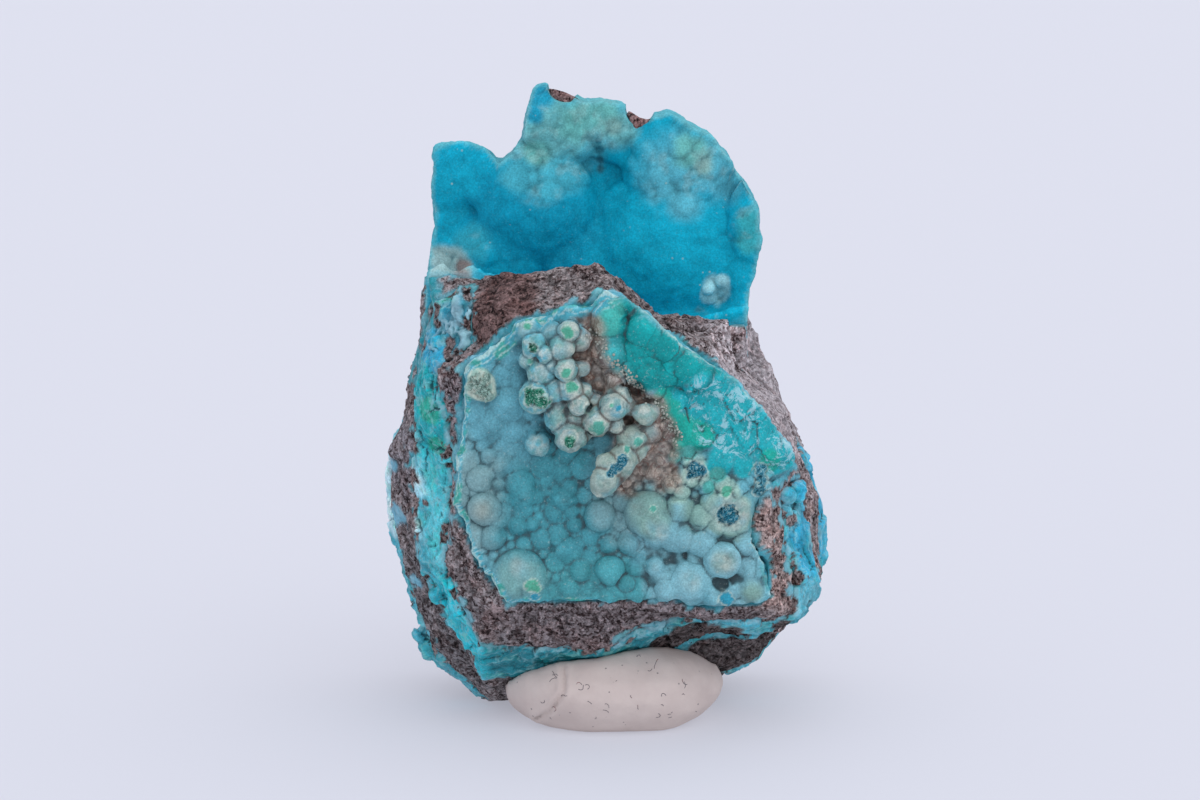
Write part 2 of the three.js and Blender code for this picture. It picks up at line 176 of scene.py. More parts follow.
class Skin:
    """A piece's surface while it is worked: its points in millimetres and which of them are neighbours.

    Spots are circles [x, z, radius] and corners are places [x, z], all seen from the front.
    """

    def __init__(self, piece):
        self.mesh = piece.data
        count = len(self.mesh.vertices)
        flat = np.empty(count * 3, np.float32)
        self.mesh.vertices.foreach_get("co", flat)
        self.points = flat.reshape(-1, 3).astype(float) / MM
        pairs = np.empty(len(self.mesh.edges) * 2, np.int32)
        self.mesh.edges.foreach_get("vertices", pairs)
        pairs = pairs.reshape(-1, 2)
        self.here = np.concatenate((pairs[:, 0], pairs[:, 1]))
        self.there = np.concatenate((pairs[:, 1], pairs[:, 0]))
        self.degree = np.bincount(self.here, minlength=count)

    @property
    def x(self):
        return self.points[:, 0]

    @property
    def y(self):
        return self.points[:, 1]

    @property
    def z(self):
        return self.points[:, 2]

    def mean_of_neighbours(self, values):
        sums = [np.bincount(self.here, weights=column[self.there], minlength=len(self.degree))
                for column in values.T]
        return np.stack(sums, axis=1) / self.degree[:, None]

    def smooth(self, passes, share=0.5):
        for _ in range(passes):
            self.points += (self.mean_of_neighbours(self.points) - self.points) * share

    def store(self):
        flat = (self.points * MM).astype(np.float32).ravel()
        self.mesh.vertices.foreach_set("co", flat)
        self.mesh.update()

    def normals(self):
        self.store()
        flat = np.empty(len(self.points) * 3, np.float32)
        self.mesh.vertex_normals.foreach_get("vector", flat)
        return flat.reshape(-1, 3).astype(float)

    def facing(self):
        """How squarely each point faces the front, from -1 to 1."""
        return -self.normals()[:, 1]

    def sideways(self):
        """How squarely each point faces left or right, from 0 to 1."""
        return np.abs(self.normals()[:, 0])

    def push(self, distance):
        """Moves each point out along its normal."""
        self.points += self.normals() * np.asarray(distance).reshape(-1, 1)

    def relief(self, passes):
        """How far each point stands out of the surface that smoothing would leave, in millimetres."""
        kept = self.points.copy()
        self.smooth(passes)
        lowered = self.points
        self.points = kept
        return np.einsum("ij,ij->i", kept - lowered, self.normals())

    def ripple(self, pitch, octaves=1, seed=0.0):
        """Smooth noise from about -1 to 1; pitch is its cycles in a millimetre."""
        shifted = self.points * pitch + seed
        if octaves == 1:
            return np.array([noise.noise(p) for p in shifted])
        return np.array([noise.fractal(p, *OCTAVES, octaves) for p in shifted])

    def breakage(self, pitch, seed=0.0):
        """Noise of flat tilted patches, as on broken rock; pitch is its patches in a millimetre."""
        heights = np.empty(len(self.points))
        for i, point in enumerate(self.points * pitch + seed):
            near = noise.voronoi(point)[1][0]
            tilt = noise.cell_vector(near * TILT_JUMP) - Vector((0.5, 0.5, 0.5))
            heights[i] = (Vector(point) - near).dot(tilt)
        return heights

    def distances(self, tree):
        """Each point's distance to a solid, in millimetres."""
        return np.array([tree.find_nearest(Vector(p) * MM)[3] for p in self.points]) / MM

    def patch(self, spots, soft=0.5, ragged=0.0):
        """1 inside the spots and 0 outside, sloping over a soft share of their radius."""
        best = np.zeros(len(self.points))
        for x, z, radius in spots:
            away = np.hypot(self.x - x, self.z - z) / radius + ragged
            best = np.maximum(best, 1 - step(away, 1 - soft / 2, 1 + soft / 2))
        return best

    def line_distance(self, corners, closed=False):
        """Each point's distance to a line through the corners, and the nearest place on that line."""
        flat = self.points[:, [0, 2]]
        best = np.full(len(flat), np.inf)
        places = np.zeros_like(flat)
        ends = np.array(corners, float)
        pairs = list(zip(ends, np.roll(ends, -1, axis=0)))
        for start, end in pairs if closed else pairs[:-1]:
            along = end - start
            share = np.clip((flat - start) @ along / (along @ along), 0, 1)
            place = start + share[:, None] * along
            away = np.hypot(*(flat - place).T)
            closer = away < best
            best[closer] = away[closer]
            places[closer] = place[closer]
        return best, places

    def inside_outline(self, corners):
        """How far inside a closed outline each point lies, less than 0 outside, and its nearest place."""
        away, places = self.line_distance(corners, closed=True)
        inside = np.zeros(len(self.points), bool)
        x, z = self.x, self.z
        for (x0, z0), (x1, z1) in zip(corners, corners[1:] + corners[:1]):
            if z0 != z1:
                inside ^= ((z0 > z) != (z1 > z)) & (x < x0 + (z - z0) * (x1 - x0) / (z1 - z0))
        return np.where(inside, away, -away), places

    def trim(self, corners, chosen):
        """Brings the chosen points that lie outside an outline back onto it; gives the depth inside."""
        depth, places = self.inside_outline(corners)
        outside = chosen & (depth < 0)
        self.points[outside, 0] = places[outside, 0]
        self.points[outside, 2] = places[outside, 1]
        return np.maximum(depth, 0)

    def reach_edge(self, corners, chosen, reach=1.3, band=2.2):
        """Draws the chosen points out to an outline, where the skin then ends in one sharp broken edge."""
        depth, places = self.inside_outline(corners)
        moved = (1 - step(depth, 0, band)) * reach
        share = np.clip(moved / np.maximum(depth, TINY), 0, 1)[:, None]
        toward = (places - self.points[:, [0, 2]]) * share
        self.points[chosen, 0] += toward[chosen, 0]
        self.points[chosen, 2] += toward[chosen, 1]

    def fray(self, depth, reach=1.2, size=0.35):
        """Makes an edge uneven; depth is how far inside it each point lies."""
        share = (1 - step(depth, 0, reach)) * size
        for axis, seed in ((0, 5.9), (2, 1.9)):
            uneven = self.ripple(0.35, 1, seed) * 1.6 + self.ripple(1.2, 2, seed) * 0.7
            self.points[:, axis] += share * uneven

    def dome_field(self, domes):
        """For each point: how far up its dome it is, that dome's height, how far the seam to the next
        dome is, and which dome it is. Domes are [x, z, radius, share of height]."""
        x, z = self.x, self.z
        best = np.full(len(x), NO_DOME)
        second = best.copy()
        pick = np.zeros(len(x), int)
        other = pick.copy()
        for i, (a, b, radius, _) in enumerate(domes):
            power = radius * radius - (x - a) ** 2 - (z - b) ** 2
            leads = power > best
            follows = ~leads & (power > second)
            second = np.where(leads, best, np.where(follows, power, second))
            other = np.where(leads, pick, np.where(follows, i, other))
            best = np.where(leads, power, best)
            pick = np.where(leads, i, pick)
        table = np.array(domes)
        apart = np.hypot(*(table[pick, :2] - table[other, :2]).T)
        up = np.sqrt(np.maximum(best, 0)) / table[pick, 2]
        seam = (best - np.maximum(second, 0)) / (2 * np.maximum(apart, 0.3))
        return up, table[pick, 2] * table[pick, 3], np.where(best > 0, seam, 0), pick

    def tint(self, colour):
        """Starts the piece's tone with one colour all over."""
        self.tone = np.tile(paint(*colour)[:3], (len(self.points), 1))

    def blend(self, colour, share):
        share = np.clip(share, 0, 1).reshape(-1, 1)
        self.tone = self.tone * (1 - share) + np.array(paint(*colour)[:3]) * share

    def shade(self, factor):
        """Lightens or darkens the tone point by point."""
        self.tone = np.clip(self.tone * np.asarray(factor).reshape(-1, 1), 0, 1)

    def blend_zones(self, zones, ragged=0.0):
        """Zones are [colour, softness, spots], laid one over the other."""
        for colour, soft, spots in zones:
            self.blend(colour, self.patch(spots, soft, ragged))

    def keep(self, name, values):
        """Keeps one number for each point, for the materials."""
        layer = self.mesh.attributes.new(name, "FLOAT", "POINT")
        layer.data.foreach_set("value", np.asarray(values, np.float32))

    def finish(self, lowest=None):
        if lowest is not None:
            self.points[:, 2] = np.maximum(self.z, lowest)
        self.store()
        self.mesh.shade_smooth()
        tones = self.mesh.attributes.new("tone", "FLOAT_COLOR", "POINT")
        solid = np.ones((len(self.points), 4), np.float32)
        solid[:, :3] = self.tone
        tones.data.foreach_set("color", solid.ravel())


def cell_borders(points, pitch, seed=0.0):
    """How far each point is from the borders of a net of cells, as a share of a cell."""
    gaps = np.empty(len(points))
    for i, point in enumerate(points * pitch + seed):
        nearest, second = noise.voronoi(point)[0][:2]
        gaps[i] = second - nearest
    return gaps


def within(x, z, spots):
    """Whether a place lies in one of some spots."""
    return any(math.hypot(x - a, z - b) < radius for a, b, radius in spots)


def scattered(seed, tries, area, zone, taken=(), closeness=0.66):
    """Packs domes into an area [left, right, low, high], clear of the spots that are taken; zone gives a
    place's least and greatest radius and its share of height, or nothing."""
    draw = random.Random(seed)
    packed = list(taken)
    domes = []
    for attempt in range(tries):
        x = draw.uniform(area[0], area[1])
        z = draw.uniform(area[2], area[3])
        here = zone(x, z)
        if here is None:
            continue
        low, high, share = here
        largest = high + (low - high) * attempt / tries
        radius = draw.uniform(low, max(low * 1.1, largest))
        if all(math.hypot(x - a, z - b) > (radius + r) * closeness for a, b, r in packed):
            domes.append((x, z, radius, share))
            packed.append((x, z, radius))
    return domes


def per_dome(pick, low, high, seed=3):
    """One chance number between low and high for each dome, read out for each point."""
    draw = random.Random(seed)
    return np.array([draw.uniform(low, high) for _ in range(pick.max() + 1)])[pick]


# ---------------------------------------------------------------- material tools
def paint(red, green, blue):
    """A screen colour of 0 to 255 as a linear one."""
    return (*(((c / 255 + 0.055) / 1.055) ** 2.4 if c > 10 else c / 255 / 12.92
              for c in (red, green, blue)), 1)


class Finish:
    """A material, with short ways to add its nodes."""

    def __init__(self, name):
        self.material = bpy.data.materials.new(name)
        self.material.use_nodes = True
        self.tree = self.material.node_tree
        self.shader = self.tree.nodes["Principled BSDF"]
        place = self.node("TexCoord").outputs["Object"]
        self.place = self.node("Mapping", {"Vector": place, "Scale": (1 / MM, 1 / MM, 1 / MM)}).outputs[0]

    def node(self, kind, inputs=None, **settings):
        made = self.tree.nodes.new("ShaderNode" + kind)
        for name, value in settings.items():
            setattr(made, name, value)
        for key, value in (inputs or {}).items():
            self.fill(made.inputs[key], value)
        return made

    def fill(self, socket, value):
        if isinstance(value, bpy.types.NodeSocket):
            self.tree.links.new(value, socket)
        else:
            socket.default_value = value

    def cloud(self, pitch, detail=2.0, roughness=0.5, warp=0.0):
        made = self.node("TexNoise", {"Vector": self.place, "Scale": pitch, "Detail": detail,
                                      "Roughness": roughness, "Distortion": warp})
        return made.outputs["Fac"]

    def grains(self, pitch, output="Distance"):
        return self.node("TexVoronoi", {"Vector": self.place, "Scale": pitch}).outputs[output]

    def grain_value(self, pitch, channel=0):
        """One number for each grain."""
        return self.node("SeparateColor", {"Color": self.grains(pitch, output="Color")}).outputs[channel]

    def mask(self, name):
        return self.node("Attribute", attribute_name=name).outputs["Fac"]

    def tone(self):
        return self.node("Attribute", attribute_name="tone").outputs["Color"]

    def span(self, value, low, high, start=0.0, end=1.0):
        """Goes smoothly from start to end while the value goes from low to high."""
        made = self.node("MapRange", {"Value": value, "From Min": low, "From Max": high, "To Min": start,
                                      "To Max": end}, interpolation_type="SMOOTHSTEP")
        return made.outputs["Result"]

    def worked_out(self, kind, first, second):
        made = self.node("Math", operation=kind)
        self.fill(made.inputs[0], first)
        self.fill(made.inputs[1], second)
        return made.outputs[0]

    def product(self, first, second):
        return self.worked_out("MULTIPLY", first, second)

    def total(self, first, second):
        return self.worked_out("ADD", first, second)

    def mix(self, share, first, second, kind="MIX"):
        made = self.node("Mix", data_type="RGBA", blend_type=kind)
        self.fill(made.inputs[0], share)
        self.fill(made.inputs[6], first)
        self.fill(made.inputs[7], second)
        return made.outputs[2]

    def shaded(self, colour, factor):
        """A colour multiplied by another colour or by a number."""
        return self.mix(1.0, colour, factor, "MULTIPLY")

    def mottled(self, colour, pitch, detail, roughness, dark, light):
        """A colour with soft darker and lighter spots."""
        spots = self.cloud(pitch, detail, roughness)
        return self.shaded(colour, self.span(spots, 0.3, 0.7, dark, light))

    def ramp(self, value, *stops):
        made = self.node("ValToRGB", {"Fac": value})
        while len(made.color_ramp.elements) < len(stops):
            made.color_ramp.elements.new(1)
        for element, (place, colour) in zip(made.color_ramp.elements, stops):
            element.position = place
            element.color = colour
        return made.outputs["Color"]

    def bump(self, *layers):
        """Stacks layers of [height, strength, depth in millimetres] on the shader's normal."""
        normal = None
        for height, strength, depth in layers:
            inputs = {"Height": height, "Strength": strength, "Distance": depth * MM}
            if normal is not None:
                inputs["Normal"] = normal
            normal = self.node("Bump", inputs).outputs["Normal"]
        self.fill(self.shader.inputs["Normal"], normal)

    def surface(self, colour, roughness, **constants):
        """Fills the shader; a constant's name has _ for each space of its socket's name."""
        self.fill(self.shader.inputs["Base Color"], colour)
        self.fill(self.shader.inputs["Roughness"], roughness)
        for name, value in constants.items():
            self.shader.inputs[name.replace("_", " ")].default_value = value
        return self.material


def crust_look(crust, crease_shade, speck):
    """A crust's tone, mottled, with painted shade in its creases, painted light on its tops and pale
    specks.
    """
    relief = crust.mask("relief")
    colour = crust.mottled(crust.tone(), 0.7, 5, 0.62, 0.88, 1.1)
    colour = crust.mottled(colour, 4.2, 2, 0.6, 0.84, 1.16)
    # painted light on raised tops
    colour = crust.shaded(colour, crust.span(relief, 0.5, 0.8, 1.0, 1.2))
    # painted shade in creases
    colour = crust.mix(crust.span(relief, 0.5, 0.2, 0.0, 0.9), colour, crease_shade)
    fine = crust.cloud(2.6, detail=4, roughness=0.75)
    return crust.mix(crust.span(fine, 0.58, 0.7, 0, 0.4), colour, speck)


def rock_grain(rock):
    """A number for each grain, from 0 for the darkest to 1 for the palest."""
    coarse = rock.product(rock.grain_value(2.3), 0.55)
    fine = rock.product(rock.grain_value(4.4, 1), 0.45)
    broad = rock.span(rock.cloud(0.5, detail=5, roughness=0.65), 0.32, 0.68, -0.2, 0.2)
    return rock.total(rock.total(coarse, fine), broad)


# What a grain's number does to the rock's tone: the number, then half the factor.
GRAIN_SHADES = [
    (0.1, (0.04, 0.025, 0.025, 1)), (0.3, (0.25, 0.2, 0.195, 1)), (0.5, (0.46, 0.44, 0.43, 1)),
    (0.7, (0.74, 0.73, 0.72, 1)), (0.9, (1, 0.99, 0.98, 1)),
]
TWICE = (2, 2, 2, 1)


def rock_look(rock, grain):
    """Tight grains of maroon, brown and grey about the rock's own tone, with painted shade in its hollows
    and a little painted light on its bumps.
    """
    shade = rock.ramp(grain, *GRAIN_SHADES)
    colour = rock.shaded(rock.shaded(rock.tone(), shade), TWICE)
    glint = rock.span(rock.cloud(2.6, detail=4, roughness=0.85), 0.53, 0.62, 0, 0.75)
    colour = rock.mix(glint, colour, rock.shaded(colour, (1.95, 1.7, 1.66, 1)))
    rust = rock.span(rock.cloud(0.3, detail=4, warp=0.5), 0.5, 0.66, 0, 0.5)
    colour = rock.mix(rust, colour, rock.shaded(colour, (1.12, 0.88, 0.82, 1)))
    colour = rock.mix(rock.product(rock.mask("dusty"), 0.6), colour, rock.tone())
    # painted shade in hollows and a little painted light on bumps, from the relief
    return rock.shaded(colour, rock.span(rock.mask("relief"), 0.25, 0.62, 0.45, 1.08))


# ---------------------------------------------------------------- the rock
ROCK_VOXEL = 0.44
ROCK_GROWTH = 0.3  # closes the gap to the crusts
SLAB_OUTLINE = [  # the tall slab's outline, [x, z], clockwise from its lower left corner
    (-23.4, 44), (-23.1, 58.6), (-22.5, 62.8), (-22.7, 68), (-22.4, 73.8), (-18.6, 74.2), (-15.5, 73),
    (-14, 71.4), (-12.7, 72.3), (-10.9, 74.5), (-10.3, 78.2), (-9.4, 81.2), (-8.4, 81.7), (-7.2, 81.3),
    (-5.4, 80.8), (-3.9, 80.1), (-3, 79.5), (-0.8, 79.6), (1.2, 79.3), (3.1, 78.4), (4.6, 77.3),
    (5.4, 77.3), (8, 78.3), (10.9, 76.5), (13.5, 75.3), (15.8, 72.2), (18, 68.7), (19.7, 65.8),
    (20, 61.5), (19.3, 58.6), (18.5, 54.9), (17.9, 49.7), (17.8, 44),
]
SLAB_FRONT = 4.7  # y at which that outline is seen
SLAB_DEPTH = 8  # how far behind it the outline still holds
SLAB_FOOT = 58  # z above which the rock keeps to it
SIGHT_DROP = math.tan(CAMERA_ELEVATION)  # drop for each millimetre farther back
# Tones by zone: colour, softness, spots.
ROCK_TONES = [
    ((112, 106, 108), 0.5, [(-5, 14, 12), (10, 14, 12)]),
    ((118, 113, 113), 0.5, [(-8, 58, 12), (5, 57, 10)]),
    ((96, 78, 76), 0.6, [(-14, 54, 5), (-12, 57, 3.5)]),
    ((106, 104, 106), 0.5, [(-24, 16, 7), (-20, 8, 7)]),
    ((118, 116, 120), 0.5, [(-17, 43, 4), (-19, 37, 3), (-26, 34, 4)]),
    ((98, 93, 95), 0.7, [(9, 60, 5), (13, 56, 4)]),
    ((162, 157, 160), 0.5, [(23, 42, 9), (20, 50, 7)]),
    ((136, 123, 120), 0.5, [(20, 29, 3.4), (21, 25, 4), (23, 20, 5)]),
    # painted shade: darker low at the right, toward the underside
    ((84, 79, 79), 0.6, [(12, 8, 7), (18, 6, 5)]),
]
CREST_TIPS = [(-5.4, 6.6, 79.7, 2.1), (4.3, 6.8, 76.6, 1.7)]  # bare rock: (x, y, z), radius
CREST_BARE = 2.6  # radius of the bare spot about each tip
RIGHT_FLANK = [(24, 43, 9), (20, 52, 7)]  # broken less deeply
DUSTY_FLANK = [(25, 43, 8), (22, 52, 5)]
RIGHT_STRIP = [(20, 27, 3), (20.4, 30, 2)]  # stands out a little beside the show face
VEIN_PLANE = -5  # y about which the vein's crust comes out of the rock
# Where a skin of the vein's crust covers the rock: colour, softness, spots.
ROCK_CRUSTED = [
    ((44, 146, 158), 0.3, [(-25, 52, 3), (-25, 46, 2.6), (-23.5, 57, 2.6)]),
    ((110, 176, 198), 0.3, [(-28, 33, 0.9), (-27.2, 26.4, 1.5), (-24.8, 18, 0.8)]),
    ((130, 176, 184), 0.3, [(4.5, 66.2, 1.2), (2.8, 66.6, 0.9), (6.2, 64.8, 0.8)]),
    ((90, 156, 166), 0.3, [(-16.5, 13, 0.6), (-14.5, 14.6, 0.5), (-15.4, 19, 0.3), (22.6, 36.5, 0.6)]),
]
# Bare rock at the left end of the back vein.
LEFT_BARE = [(-25.7, 36.9, 1.9), (-25.4, 33, 1.4), (-25.1, 29.2, 1.1), (-25.3, 26.5, 0.8)]


def mixed_material(name):
    """Grainy rock that turns into blue-green crust where its crusted mask is 1."""
    rock = Finish(name)
    crusted = rock.mask("crusted")
    grain = rock_grain(rock)
    # its first colour is the painted shade in the crust's creases
    crust = crust_look(rock, paint(26, 78, 88), paint(172, 208, 212))
    streak = rock.span(rock.cloud(0.45, detail=7, roughness=0.72, warp=1.0), 0.54, 0.64, 0, 0.65)
    crust = rock.mix(streak, crust, paint(140, 196, 206))
    emerald = rock.span(rock.cloud(0.32, detail=4, roughness=0.6), 0.5, 0.6, 0, 0.55)
    crust = rock.mix(emerald, crust, rock.shaded(crust, (0.55, 1.05, 0.86, 1)))
    chalk = rock.mottled(paint(172, 212, 222), 1.1, 6, 0.7, 0.66, 1.08)
    crust = rock.mix(rock.mask("pale"), crust, chalk)
    rock.bump((rock.cloud(0.9, detail=6, roughness=0.7), 0.5, 0.8),
              (rock.product(grain, rock.span(crusted, 1, 0)), 0.7, 0.4),
              (rock.cloud(6, detail=2), 0.4, 0.1))
    colour = rock.mix(crusted, rock_look(rock, grain), crust)
    return rock.surface(colour, rock.span(crusted, 0, 1, 0.92, 0.5), Specular_IOR_Level=0.25)


def rock_form():
    form = packed_form("rock_matrix")
    for x, y, z, radius in CREST_TIPS:
        add_ball(form, (x, y, z), radius)
    return form


def break_rock(skin, away):
    """Broken facets, chunks and grain, shallower next to the crusts."""
    free = step(away, 0.6, 4.0)
    heights = (skin.breakage(0.12) * 1.9 + skin.breakage(0.3, 9.1) * 0.9
               + skin.breakage(0.7, 4.7) * 0.35 + skin.ripple(0.3, 4, 3.3) * 0.35)
    chunks = skin.breakage(0.55, 2.3) * 0.6
    calm = 1 - 0.6 * skin.patch(RIGHT_FLANK, 0.4)
    beside = skin.patch(RIGHT_STRIP, 0.6) * step(skin.facing(), 0.2, 0.7)
    skin.push(ROCK_GROWTH + heights * calm * (0.18 + 0.82 * free) + chunks - 0.25 * free + beside * 0.6
              + skin.ripple(1.5, 2, 1.7) * 0.09)


def trim_slab(skin):
    """Keeps the tall slab to its outline, as it is seen from a little above."""
    drop = np.clip(skin.y - SLAB_FRONT, 0, SLAB_DEPTH) * SIGHT_DROP
    skin.points[:, 2] += drop
    skin.trim(SLAB_OUTLINE, skin.z > SLAB_FOOT)
    skin.points[:, 2] -= drop


def crust_far_spots(skin, crusted):
    """Lays the far spots of crust over the rock; gives the crusted mask with them in it."""
    ragged = skin.ripple(0.5, 3, 2.6) * 0.5
    at_vein = 1 - step(np.abs(skin.y - VEIN_PLANE) + skin.ripple(0.2, 4, 1.1) * 6, 4, 6)
    for colour, soft, spots in ROCK_CRUSTED:
        share = skin.patch(spots, soft, ragged) * at_vein
        skin.blend(colour, share)
        crusted = np.maximum(crusted, share)
    return crusted


def rock_piece():
    piece = fused("rock_matrix_skin", rock_form(), ROCK_VOXEL)
    skin = Skin(piece)
    skin.smooth(2)
    crusts = tree_of_nodes("front_crust", "upper_crust", "middle_vein", "left_rim_vein", "right_rim_vein")
    away = skin.distances(crusts)
    sideways = step(skin.sideways(), 0.4, 0.8)
    break_rock(skin, away)
    trim_slab(skin)
    edge = skin.ripple(0.45, 4, 8.8)
    ragged = skin.ripple(0.25, 3, 6.6) * (0.4 + 0.8 * sideways)
    tips = skin.patch([(x, z, CREST_BARE) for x, _, z, _ in CREST_TIPS], 0.3) * step(skin.z, 74, 76)
    skin.tint((126, 121, 122))
    skin.blend_zones(ROCK_TONES, ragged)
    spread = np.maximum(edge, 0) * (1 + 1.4 * sideways)
    crusted = (1 - step(away, 0.35 + spread * 0.9, 0.5 + spread * 1.2)) * (1 - tips)
    crusted *= 1 - skin.patch(LEFT_BARE, 0.4, ragged)
    skin.blend((72, 158, 172), crusted)
    skin.blend((124, 100, 98), tips)
    crusted = crust_far_spots(skin, crusted)
    skin.keep("crusted", crusted)
    skin.keep("pale", crusted * step(edge, 0.2, 0.4) * 0.35)
    # relief, which the material turns into painted shade in hollows and painted light on bumps
    skin.keep("relief", 0.5 + skin.relief(6) * 1.4)
    skin.keep("dusty", skin.patch(DUSTY_FLANK, 0.6, ragged) * 0.7)
    skin.finish(lowest=0)
    piece.data.materials.append(mixed_material("grainy_rock"))
    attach(piece, "root")
    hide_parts("rock_matrix")


# ---------------------------------------------------------------- the show face's crust
FACE_VOXEL = 0.228
FACE_BASE_VOXEL = 0.35  # for its large masses, which are smoothed before the knobs grow
FACE_FRONT = -18.1  # y of its rim
FACE_DISH = {"x": -4.1, "z": 34, "radius": 14, "depth": 3}
FACE_SLOPE = {"from": 7.9, "rate": 0.12}  # right of this x the face turns away
FACE_ROOT = 1.2  # how deep in the crust its growths start
FACE_OUTLINE = [  # [x, z], clockwise from the upper left corner
    (-18, 47.7), (-17, 49.2), (-14.7, 50.5), (-11.9, 54), (-8.6, 54.8), (-6.2, 56.4), (-2, 56.7),
    (-0.3, 58.2), (2.2, 57.6), (5.5, 55), (10.5, 50.5), (14.5, 48), (17, 45.9), (19.5, 42.9),
    (21.9, 39.8), (24, 36.8), (23.5, 34.8), (20.1, 32.7), (18.4, 28.4), (18.4, 25.9), (19.9, 23.2),
    (20.7, 20.7), (20.4, 18.1), (19.4, 17.3), (16.7, 17.3), (13.6, 17), (10.6, 17.5), (7.8, 18.4),
    (4.3, 18.4), (0.5, 18), (-5.8, 18.1), (-12.1, 18.2), (-13.6, 20.3), (-15.9, 22.9), (-16.9, 25.9),
    (-18.1, 29.1), (-19.1, 31), (-19, 32.9), (-18.6, 37.4), (-18.3, 40.6), (-17.9, 43.1), (-17.5, 45.4),
]
# Knobs on stalks: (x, z) of the tip, its radius, how far it stands out, its lean in x and z.
STALKS = [
    (-9.9, 53.4, 1.65, 2.6, -0.2, 0.1), (-9.1, 51.5, 1.45, 3.4, -0.1, 0), (-7.7, 50.6, 1, 3, 0, 0),
    (-9.6, 49.6, 1.25, 3, -0.2, 0), (-8.1, 48.1, 1.8, 3.3, -0.1, 0), (-4.6, 53.5, 1.3, 2.8, 0, 0.2),
    (-3.4, 52.1, 1.5, 3, 0.2, 0.1), (-5.5, 51.2, 1.55, 3.8, 0, 0), (-4.9, 48.7, 1.4, 3.8, 0, 0),
    (-3, 48.5, 1.05, 3, 0.2, 0), (-4.7, 46.1, 1.6, 4, 0, -0.1), (-6.5, 45.8, 1.5, 3, 0, 0),
    (-2.9, 45.6, 1.1, 3.4, 0.1, 0), (-3.5, 44, 1.3, 4.2, 0.1, -0.1), (-8.8, 45, 2.05, 3.6, -0.1, -0.1),
    (-3.8, 42.5, 1.4, 4, 0, -0.2), (-6.3, 42.1, 1.5, 3.4, -0.1, -0.2), (-4.5, 39.7, 1.9, 4.2, 0, -0.3),
    (-2.7, 40.2, 1.05, 3.8, 0.1, -0.2), (-1.1, 41.9, 1.7, 4.6, 0.1, -0.1),
    (0.8, 43.8, 1.65, 4.1, 0.2, 0), (2.1, 45.1, 1.05, 3.6, 0.3, 0.2), (1.2, 41.4, 1.05, 3.6, 0.1, -0.1),
    (4.8, 42.7, 1.4, 2.8, 0.3, 0), (-8.8, 38.6, 1.35, 3, -0.05, -0.5), (-6.8, 53.2, 1.1, 1.9, 0, 0.1),
    (-6.6, 49.2, 1, 2.6, 0, 0), (-1.6, 44.2, 1, 2.8, 0.1, 0), (2.8, 43.4, 1, 2.4, 0.2, 0),
]
STALK_STAGGER = 0.75  # neighbours stand out by different lengths
STALK_LONGEST = 4.6
STALK_TAPER = (0.85, 0.95)  # a stalk's radii at its root and tip, as shares of its knob's
KNOB_SWELL = 1.08  # a knob is a little fatter than its stalk
FINGER = {"root": (5.2, -16.6, 40.9), "tip": (-0.6, -21, 35), "radii": (1.5, 1.2),
          "lumps": [(0, 0.1, 2.05), (0.3, -0.3, 1.95), (0.34, 0.7, 1.3), (0.6, 0.3, 1.85),
                    (0.82, -0.35, 1.6), (1, 0.15, 1.65)]}  # share of its length, to the side, radius
FINGER_LINE = [(x, z) for x, _, z in (FINGER["root"], FINGER["tip"])]

# Rounded masses: (x, z), radius, how far each stands out as a share of its radius.
MASSES = [
    (11.2, 35.3, 2, 0.95), (9.3, 33.2, 1.9, 0.7), (15.1, 32.7, 1.6, 0.9), (15.4, 29.9, 2.8, 0.75),
    (15.6, 29.8, 3.1, 0.85), (13.1, 30.9, 1.5, 0.9), (11.7, 29.7, 1.7, 0.7), (14.6, 23.7, 2.5, 0.85),
    (10.4, 21.2, 2.7, 0.7), (8, 20.2, 1.9, 0.75), (12.7, 20.2, 2, 0.7), (5.3, 29.5, 3.3, 0.45),
    (9.4, 30, 2, 0.5), (12.2, 26.4, 2.7, 0.4), (17.3, 25.4, 1.9, 0.6), (8.4, 26.6, 2.3, 0.35),
    (-16, 34.3, 1.8, 0.7), (-15.5, 30.5, 2.3, 0.6), (-11, 33.6, 2, 0.6), (-0.7, 29.4, 2, 0.6),
    (0.4, 22.3, 2.1, 0.6), (-10.8, 22.2, 2.9, 0.6), (-12.4, 21, 1.8, 0.7), (-9.2, 20.6, 1.7, 0.8),
    (13.6, 36.9, 1.4, 0.7), (15.3, 36.1, 1.3, 0.7), (20.8, 37.4, 2.4, 0.4), (19.5, 35.2, 1.3, 0.6),
    (19.4, 33, 1.2, 0.6), (17.4, 33.6, 1.2, 0.7), (-12.5, 44, 3, 0.25), (-15, 41, 2.4, 0.3),
    (-14.5, 26.8, 1.9, 0.5), (-6, 35.5, 2.4, 0.3), (4.5, 37.5, 2, 0.35),
]
